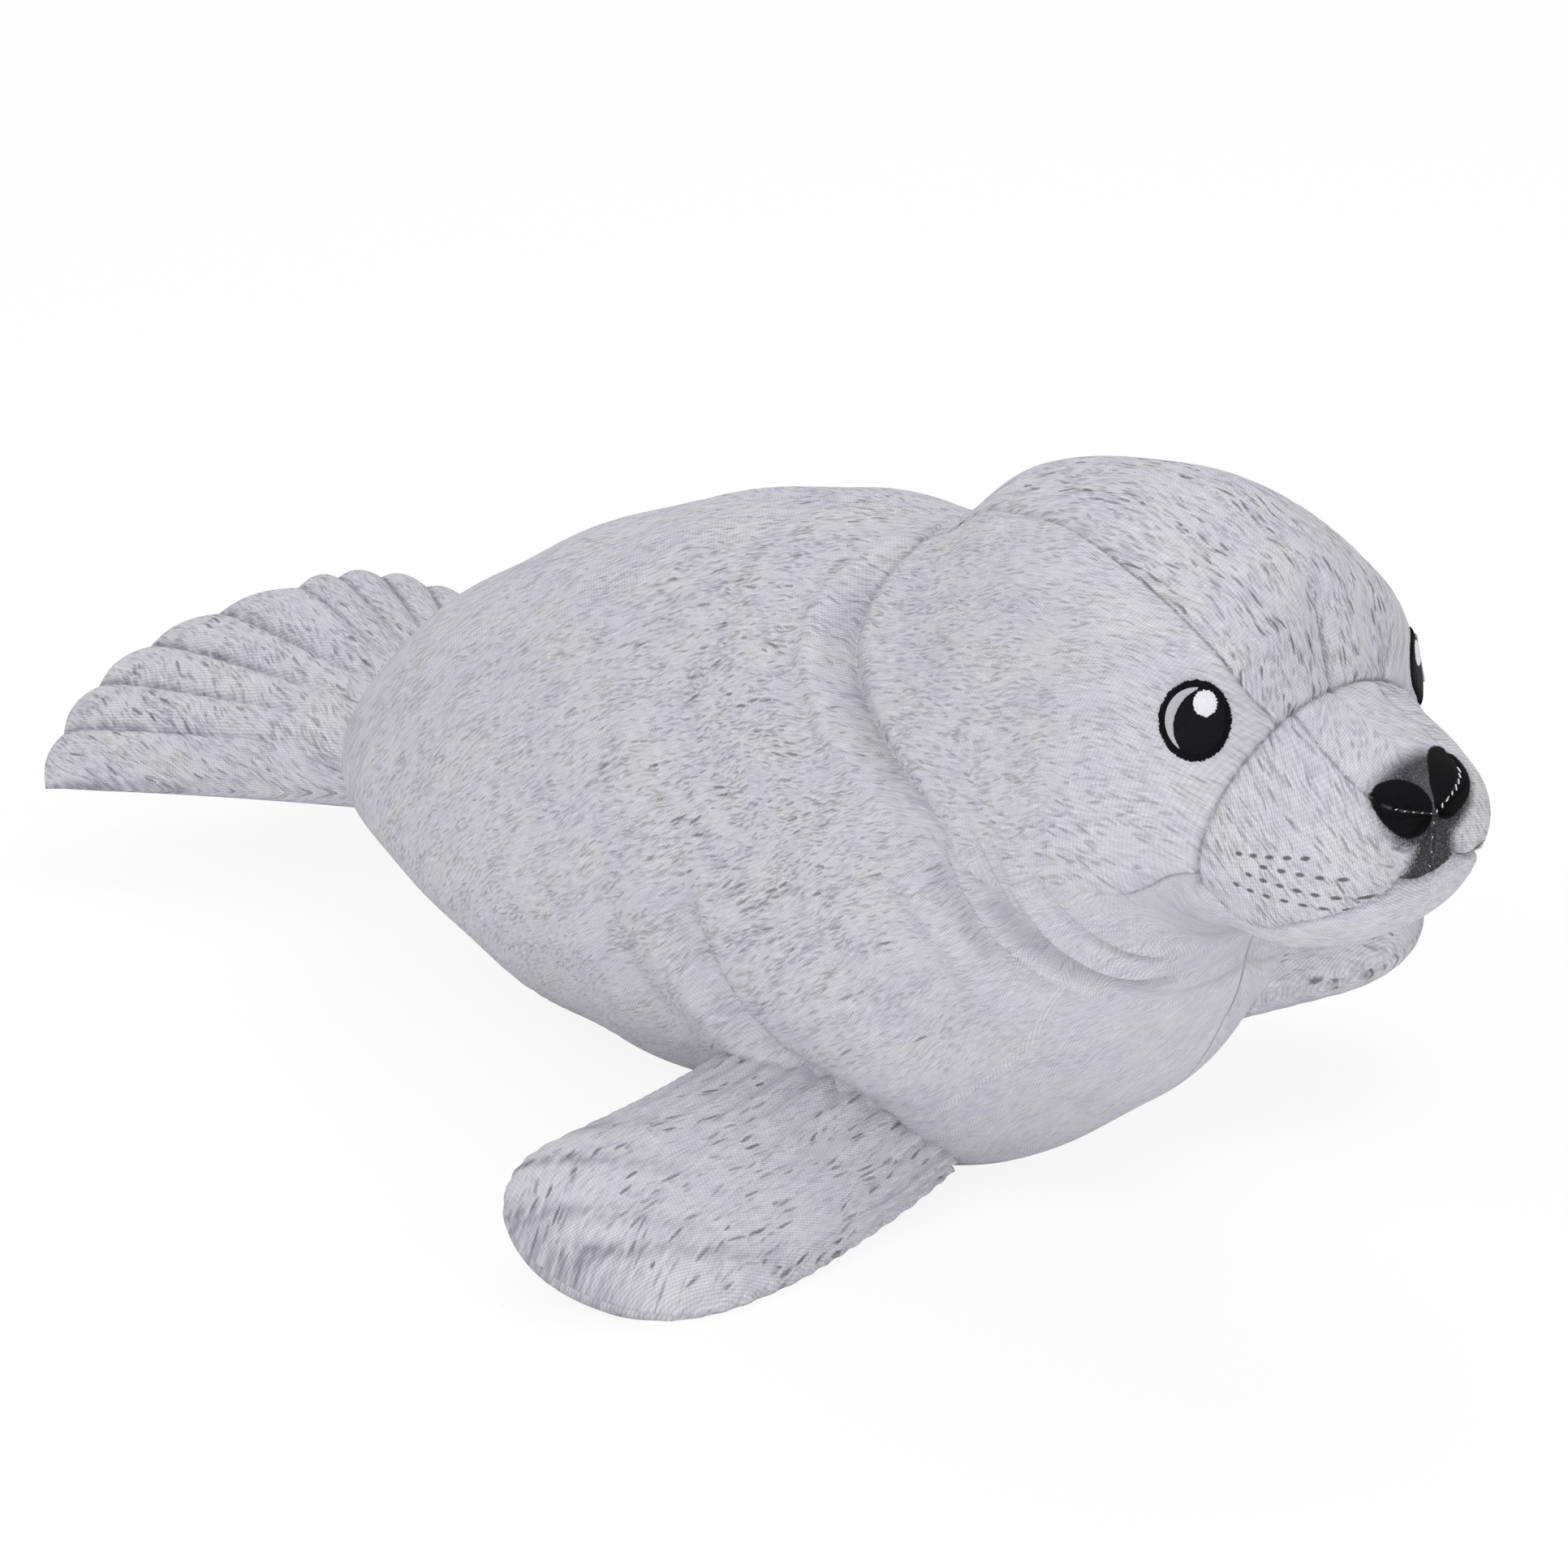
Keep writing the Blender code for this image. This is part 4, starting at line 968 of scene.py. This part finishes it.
def fan_points(u, v):
    """Upper and lower skin: rays from the root to the edge, with a thickness that the valleys thin."""
    out = np.abs(u)
    toes = np.abs(np.sin(np.pi * TOES * out))
    root = np.stack([0 * u, FAN_ROOT_HALF_WIDTH * u, FAN_ROOT_CROWN * (1 - out * out)], -1)
    reach = FAN_BULGE * 4 * out * (1 - out) + FAN_SCALLOP * (toes - 1)
    edge = np.stack([
        -FAN_NOTCH[0] - (FAN_TIP[0] - FAN_NOTCH[0]) * out - reach * 0.93,
        np.sign(u) * (FAN_TIP[1] * out + reach * 0.35),
        FAN_NOTCH[1] + (FAN_TIP[2] - FAN_NOTCH[1]) * out + reach * 0.10,
    ], -1)
    middle = root + (edge - root) * v[..., None]
    side = np.sqrt(1 - out**5)
    end = np.sqrt(1 - v**6)
    valley = 1 - FAN_VALLEY * (1 - toes**0.7) * np.sin(np.pi / 2 * np.clip((v - 0.2) / 0.65, 0, 1))
    high = FAN_HALF_HEIGHT * side * end * valley * (1.25 - 0.25 * v)
    ripple = 0.00015 * np.sin(2 * np.pi * v / 0.07 + 3 * np.sin(9 * u)) * side * end
    rise = np.array([0.0, 0.0, 1.0])
    return middle + (high + ripple)[..., None] * rise, middle - high[..., None] * rise


def there_and_back(upper, lower):
    """Rows that run along the upper sheet and back along the lower one, all but the last."""
    return np.concatenate([upper, lower[:, -2:0:-1]], axis=1)[:-1]


def build_fan(finish):
    """The hind fan as one closed skin, its upper and lower sheets meeting at the edge."""
    v = np.sin(np.linspace(0, 1, FAN_ROWS + 1)[1:] * np.pi / 2)
    u_grid, v_grid = np.meshgrid(np.linspace(-1, 1, FAN_COLUMNS + 1), v)
    upper, lower = fan_points(u_grid, v_grid)
    loops = there_and_back(upper, lower)
    edge = upper[-1]
    rows, columns = loops.shape[:2]
    quads, start, _ = tube_faces(rows, columns)
    rim = np.arange(FAN_COLUMNS + 1) + rows * columns + 1
    rim = np.concatenate([rim, rim[-2:0:-1]])
    inner = np.arange(columns) + (rows - 1) * columns
    strip = np.stack([inner, np.roll(inner, -1), np.roll(rim, -1), rim], -1)
    faces = (quads, start, strip)
    roll = Matrix.Rotation(math.radians(FAN_ROLL), 3, "X")
    swing = np.array(Matrix.Rotation(math.radians(FAN_SWING), 3, "Z") @ roll)
    points = np.vstack([loops.reshape(-1, 3), np.zeros((1, 3)), edge]) @ swing.T + FAN_ROOT
    half = (upper - lower)[..., 2] / 2
    ray, reach, thick = (there_and_back(sheet, sheet) for sheet in (u_grid, v_grid, half))
    down_the_side = np.sign(ray) * (FAN_HALF_HEIGHT - thick) * bell((1 - np.abs(ray)) / 0.15)
    places = np.stack([-loops[..., 0], loops[..., 1] + down_the_side], -1).reshape(-1, 2)
    places = np.vstack([places, [[0, 0]], edge[:, :2] * (-1, 1)])
    cloth = cloth_corners(places, faces, 0.0, 80.0)
    toes = np.abs(np.sin(np.pi * TOES * ray))
    # Dark bands in the valleys between the toes: partly the print's dark lines, partly painted shade of
    # the valleys. The rim is a little darker too.
    bands = 0.85 * bell(toes / 0.24) * np.clip((reach - 0.35) / 0.45, 0, 1)
    bands = np.concatenate([bands.ravel(), [0], np.full(FAN_COLUMNS + 1, 0.3)])
    fan = make_piece("hind_fan", points, faces, finish, cloth, {"dark_band": bands})
    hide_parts("hind_fan_upper", "hind_fan_lower", "hind_fan_filling")


build_fan(flipper_finish("fan_knit", 0.6, 0.85))
print("toes of the fan:", 2 * TOES)

# %% [markdown]
# The eyes are embroidered on the cheeks: a black oval whose border threads run outwards
# and leave a ragged edge, a silver crescent inside its rim, and a round white highlight.
# A point is placed so far ahead of and above the eye's middle, and Newton's steps find
# the station and line of the cloth below it, so the threads follow the cheek.

# %% Threads on the cheek
# Station of each eye and its angle from the top of the head, in degrees
EYE_PLACES = {-1: (9.32, 58.5), 1: (9.45, 68.0)}
EYE_RADII = (0.0099, 0.0111)
THREAD_PITCH = 0.00042
THREAD_SINK = 0.0004       # how far an oval's underside reaches into the cloth
CRESCENT_RIM = 0.82        # share of the eye's radii
CRESCENT_ARC = (84, 234)   # degrees, from straight ahead over the top to the back
CRESCENT_HALF_WIDTH = 0.0015
CRESCENT_HALF_HEIGHT = 0.00035


def eye_middle(side):
    """Station and line of the eye's middle, its point, and the forward and upward directions."""
    station, angle = EYE_PLACES[side]
    fine = np.linspace(GUSSET, CHEEK, 200)
    angles = np.degrees(angle_at(np.full(fine.shape, station), fine))
    line = np.interp(angle, angles, fine) * -side
    point, normal, _ = cloth_skin(np.array([station]), np.array([line]))
    upward = unit(np.array([0.0, 0.0, 1.0]) - normal[0] * normal[0, 2])
    forward = np.cross(upward, normal[0])
    return station, line, point[0], forward * np.sign(forward[0]), upward


def on_cheek(side, ahead, above, height):
    """Points of the cloth ahead of and above the eye's middle, lifted off it by a height."""
    station, line, centre, forward, upward = eye_middle(side)
    station = np.full(ahead.shape, station)
    line = np.full(ahead.shape, line)
    for _ in range(5):
        here = cloth_skin(station, line)[0]
        by_station = (cloth_skin(station + NUDGE, line)[0] - here) / NUDGE
        by_line = (cloth_skin(station, line + NUDGE)[0] - here) / NUDGE
        miss_ahead = ahead - (here - centre) @ forward
        miss_above = above - (here - centre) @ upward
        a, b = by_station @ forward, by_line @ forward
        c, d = by_station @ upward, by_line @ upward
        station = station + (miss_ahead * d - miss_above * b) / (a * d - b * c)
        line = line + (miss_above * a - miss_ahead * c) / (a * d - b * c)
    point, normal, _ = cloth_skin(station, line)
    return point + normal * height[..., None]


def chance(number):
    """A fixed, even scatter from 0 to 1: the broken part of a large sine."""
    return np.abs(np.sin(number * 12.9898) * 43758.5453) % 1.0


def thread_piece(name, grid, poles, places, finish):
    """A closed skin of threads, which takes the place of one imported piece."""
    points, faces = closed_tube(grid, poles)
    cloth = cloth_corners(places, faces)
    piece = make_piece(name + "_threads", points, faces, finish, cloth)
    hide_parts(name)


def threads_round(radii):
    """Number of threads side by side round an oval."""
    return int(np.pi * sum(radii) / THREAD_PITCH)


def thread_oval(name, side, middle, radii, lift, thickness, finish):
    """A domed oval of satin stitches. Its edge ends at a different radius for each thread."""
    column = np.arange(4 * threads_round(radii))
    turn = 2 * np.pi * column / len(column) * -side
    thread = np.sin(np.pi * (column % 4 + 0.5) / 4)
    over = np.linspace(1.0, 0.06, 20)
    share = np.concatenate([np.linspace(0.25, 1.0, 4), over])
    share_grid, turn_grid = np.meshgrid(share, turn, indexing="ij")
    ragged = 0.00045 * (chance(column // 4 + side) - 0.6) + 0.00012 * thread
    ahead = (radii[0] + ragged) * share_grid * np.cos(turn_grid)
    above = (radii[1] + ragged) * share_grid * np.sin(turn_grid)
    dome = lift + thickness * np.sqrt(1 - 0.93 * over**8)
    height = np.concatenate([np.full(4, -THREAD_SINK), dome])[:, None] + 0 * turn_grid
    height[4:] += 0.00006 * thread * (over > 0.7)[:, None]
    grid = on_cheek(side, middle[0] + ahead, middle[1] + above, height)
    ends = np.array([-THREAD_SINK, lift + thickness])
    poles = on_cheek(side, np.full(2, middle[0]), np.full(2, middle[1]), ends)
    places = np.vstack([np.stack([ahead, above], -1).reshape(-1, 2), np.zeros((2, 2))])
    thread_piece(name, grid, poles, places, finish)


def on_rim(side, degrees, inset, height):
    """Points along the inside of the eye's rim, inset from it."""
    turn = np.radians(degrees)
    ahead = (EYE_RADII[0] * CRESCENT_RIM - inset) * np.cos(turn)
    above = (EYE_RADII[1] * CRESCENT_RIM - inset) * np.sin(turn)
    return on_cheek(side, ahead, above, height)


def thread_crescent(name, side, lift, finish):
    """A curved tube with a flat section: along the rim of the eye, thick in the middle of its arc."""
    turn = 2 * np.pi * np.arange(12) / 12
    along_grid, turn_grid = np.meshgrid(np.linspace(0, 1, 162)[1:-1], turn, indexing="ij")
    degrees = CRESCENT_ARC[0] + (CRESCENT_ARC[1] - CRESCENT_ARC[0]) * along_grid
    width = CRESCENT_HALF_WIDTH * np.sin(np.pi * along_grid)**0.6 * (1 - 0.35 * along_grid)
    width = width + 0.0001 * (chance(np.floor(along_grid * 60)) - 0.5)
    inset = width * (1 + np.cos(turn_grid))
    height = lift + CRESCENT_HALF_HEIGHT * np.sin(turn_grid)
    grid = on_rim(side, degrees, inset, height)[:, ::side]
    poles = on_rim(side, np.array(CRESCENT_ARC), 0.0, np.full(2, lift))
    places = np.stack([np.radians(degrees) * 0.009, inset], -1)[:, ::side].reshape(-1, 2)
    thread_piece(name, grid, poles, np.vstack([places, places[:1], places[-1:]]), finish)


print("threads round an eye:", threads_round(EYE_RADII))

# %% [markdown]
# Thread shines a little, so each stitch shows as a small light line: a painted highlight,
# a paler colour on the high parts of the stitches. In the eye's border the stitches run
# outwards, and its middle is filled with short rows. The white spot has upright rows. The
# rows are a bump with the thread's own pitch.

# %% Thread finishes and the eyes
NO_BORDER = 9.0            # a border that starts far outside the oval


def thread_finish(name, colour, roughness, border):
    """Rows of stitches: outwards in a border beyond a share of the radius, upright inside it,
    with a painted highlight that makes their high parts paler.
    """
    finish = Finish(name, Roughness=roughness, Specular_IOR_Level=0.08)
    place = finish.attribute("cloth")
    ahead, above, _ = finish.parts(place)
    rows = ((ahead + above * 0.25) * (2 * math.pi / THREAD_PITCH / 1.1)).sine()
    breaks = finish.noise(place, (2400, 700, 1))
    fill = rows * 0.5 + breaks * 2.2
    turn = finish.maths("ARCTAN2", above, ahead)
    outward = (turn * (2 * math.pi * 0.0105 / THREAD_PITCH)).sine() + breaks
    radius = ((ahead / EYE_RADII[0])**2.0 + (above / EYE_RADII[1])**2.0)**0.5
    share = finish.step(radius, border, border + 0.05)
    height = fill * (1 - share) + outward * share
    # Painted highlight: the stitches' high parts get a paler colour.
    stitch_glint = tuple(min(1.0, c * 1.5 + 0.010) for c in colour) + (1.0,)
    colour = finish.blend(finish.step(height, 1.0, 2.2) * 0.6, (*colour, 1.0), stitch_glint)
    return finish.wear(colour, height, 0.00012)


black_thread = thread_finish("black_thread", (0.004, 0.004, 0.006), 0.6, 0.78)
silver_thread = thread_finish("silver_thread", (0.42, 0.42, 0.45), 0.45, NO_BORDER)
white_thread = thread_finish("white_thread", (0.72, 0.72, 0.76), 0.45, NO_BORDER)
for side, word in ((-1, "right"), (1, "left")):
    thread_oval("eye_oval_" + word, side, (0.0, 0.0), EYE_RADII, 0.0001, 0.0008,
                black_thread)
    thread_crescent("eye_crescent_" + word, side, 0.00115, silver_thread)
    thread_oval("eye_highlight_" + word, side, (0.0025, 0.0048), (0.0032, 0.0036), 0.0007, 0.0007,
                white_thread)
    print("eye sewn:", word)

# %% [markdown]
# Pale stitches show where the bridge meets the sides of the muzzle, across the printed
# nostrils, and down the middle to the mouth. Each is one short grain of thread, so a
# single grain is laid again and again along the seam.

# %% Stitches on the nose
# Line, first station, last station, number of stitches and their size
STITCH_ROWS = (
    (BRIDGE, 12.25, 12.92, 5, 0.7),
    (-BRIDGE, 11.95, 12.92, 8, 1.3),
    (MIDDLE - 0.01, 12.50, 12.90, 4, 0.7),
)
STITCH_LENGTH = 0.0014
STITCH_RADIUS = 0.00022
STITCH_LIFT = 0.0007
GRAIN_RINGS = 7
GRAIN_COLUMNS = 8
NOSE_MIDDLE = (0.0, 0.165)               # sideways and up


def stitch_grains(line, first, last, count, size):
    """Grains along a seam: half a circle of radii along each, and a full circle around it."""
    station = np.linspace(first, last, count)
    seam = np.full(count, float(line))
    number = np.arange(count)
    point, normal, _ = cloth_skin(station, seam)
    ahead = unit(cloth_skin(station + 0.01, seam)[0] - point)
    sideways = np.cross(normal, ahead)
    lean = (0.9 * (chance(number + first) - 0.5) + 0.5 * size)[:, None]
    ahead = ahead * np.cos(lean) + sideways * np.sin(lean)
    sideways = np.cross(normal, ahead)
    polar = np.linspace(0, np.pi, GRAIN_RINGS + 2)[1:-1, None]
    around = 2 * np.pi * np.arange(GRAIN_COLUMNS) / GRAIN_COLUMNS
    length = size * STITCH_LENGTH / 2 * (0.6 + 0.8 * chance(number + 3.0))
    along = -np.cos(polar) + 0 * around
    radius = np.sin(polar)**0.7 * STITCH_RADIUS * size
    middle = point + normal * STITCH_LIFT
    grid = middle[:, None, None] + np.einsum("g,rc,gi->grci", length, along, ahead)
    grid = grid + np.einsum("rc,gi->grci", radius * np.cos(around), sideways)
    grid = grid + np.einsum("rc,gi->grci", radius * np.sin(around), normal)
    poles = middle[:, None] + np.einsum("g,e,gi->gei", length, np.array([-1.0, 1.0]), ahead)
    return np.concatenate([grid.reshape(count, -1, 3), poles], axis=1)


def build_stitches(finish):
    """All grains of thread on the nose as one piece."""
    grains = np.concatenate([stitch_grains(*row) for row in STITCH_ROWS])
    shift = np.arange(len(grains))[:, None, None] * grains.shape[1]
    faces = tuple((group[None] + shift).reshape(-1, group.shape[1])
                  for group in tube_faces(GRAIN_RINGS, GRAIN_COLUMNS))
    points = grains.reshape(-1, 3)
    cloth = cloth_corners(points[:, 1:] - NOSE_MIDDLE, faces)
    make_piece("nose_stitches", points, faces, finish, cloth)


build_stitches(white_thread)
print("stitches on the nose:", sum(row[3] for row in STITCH_ROWS))
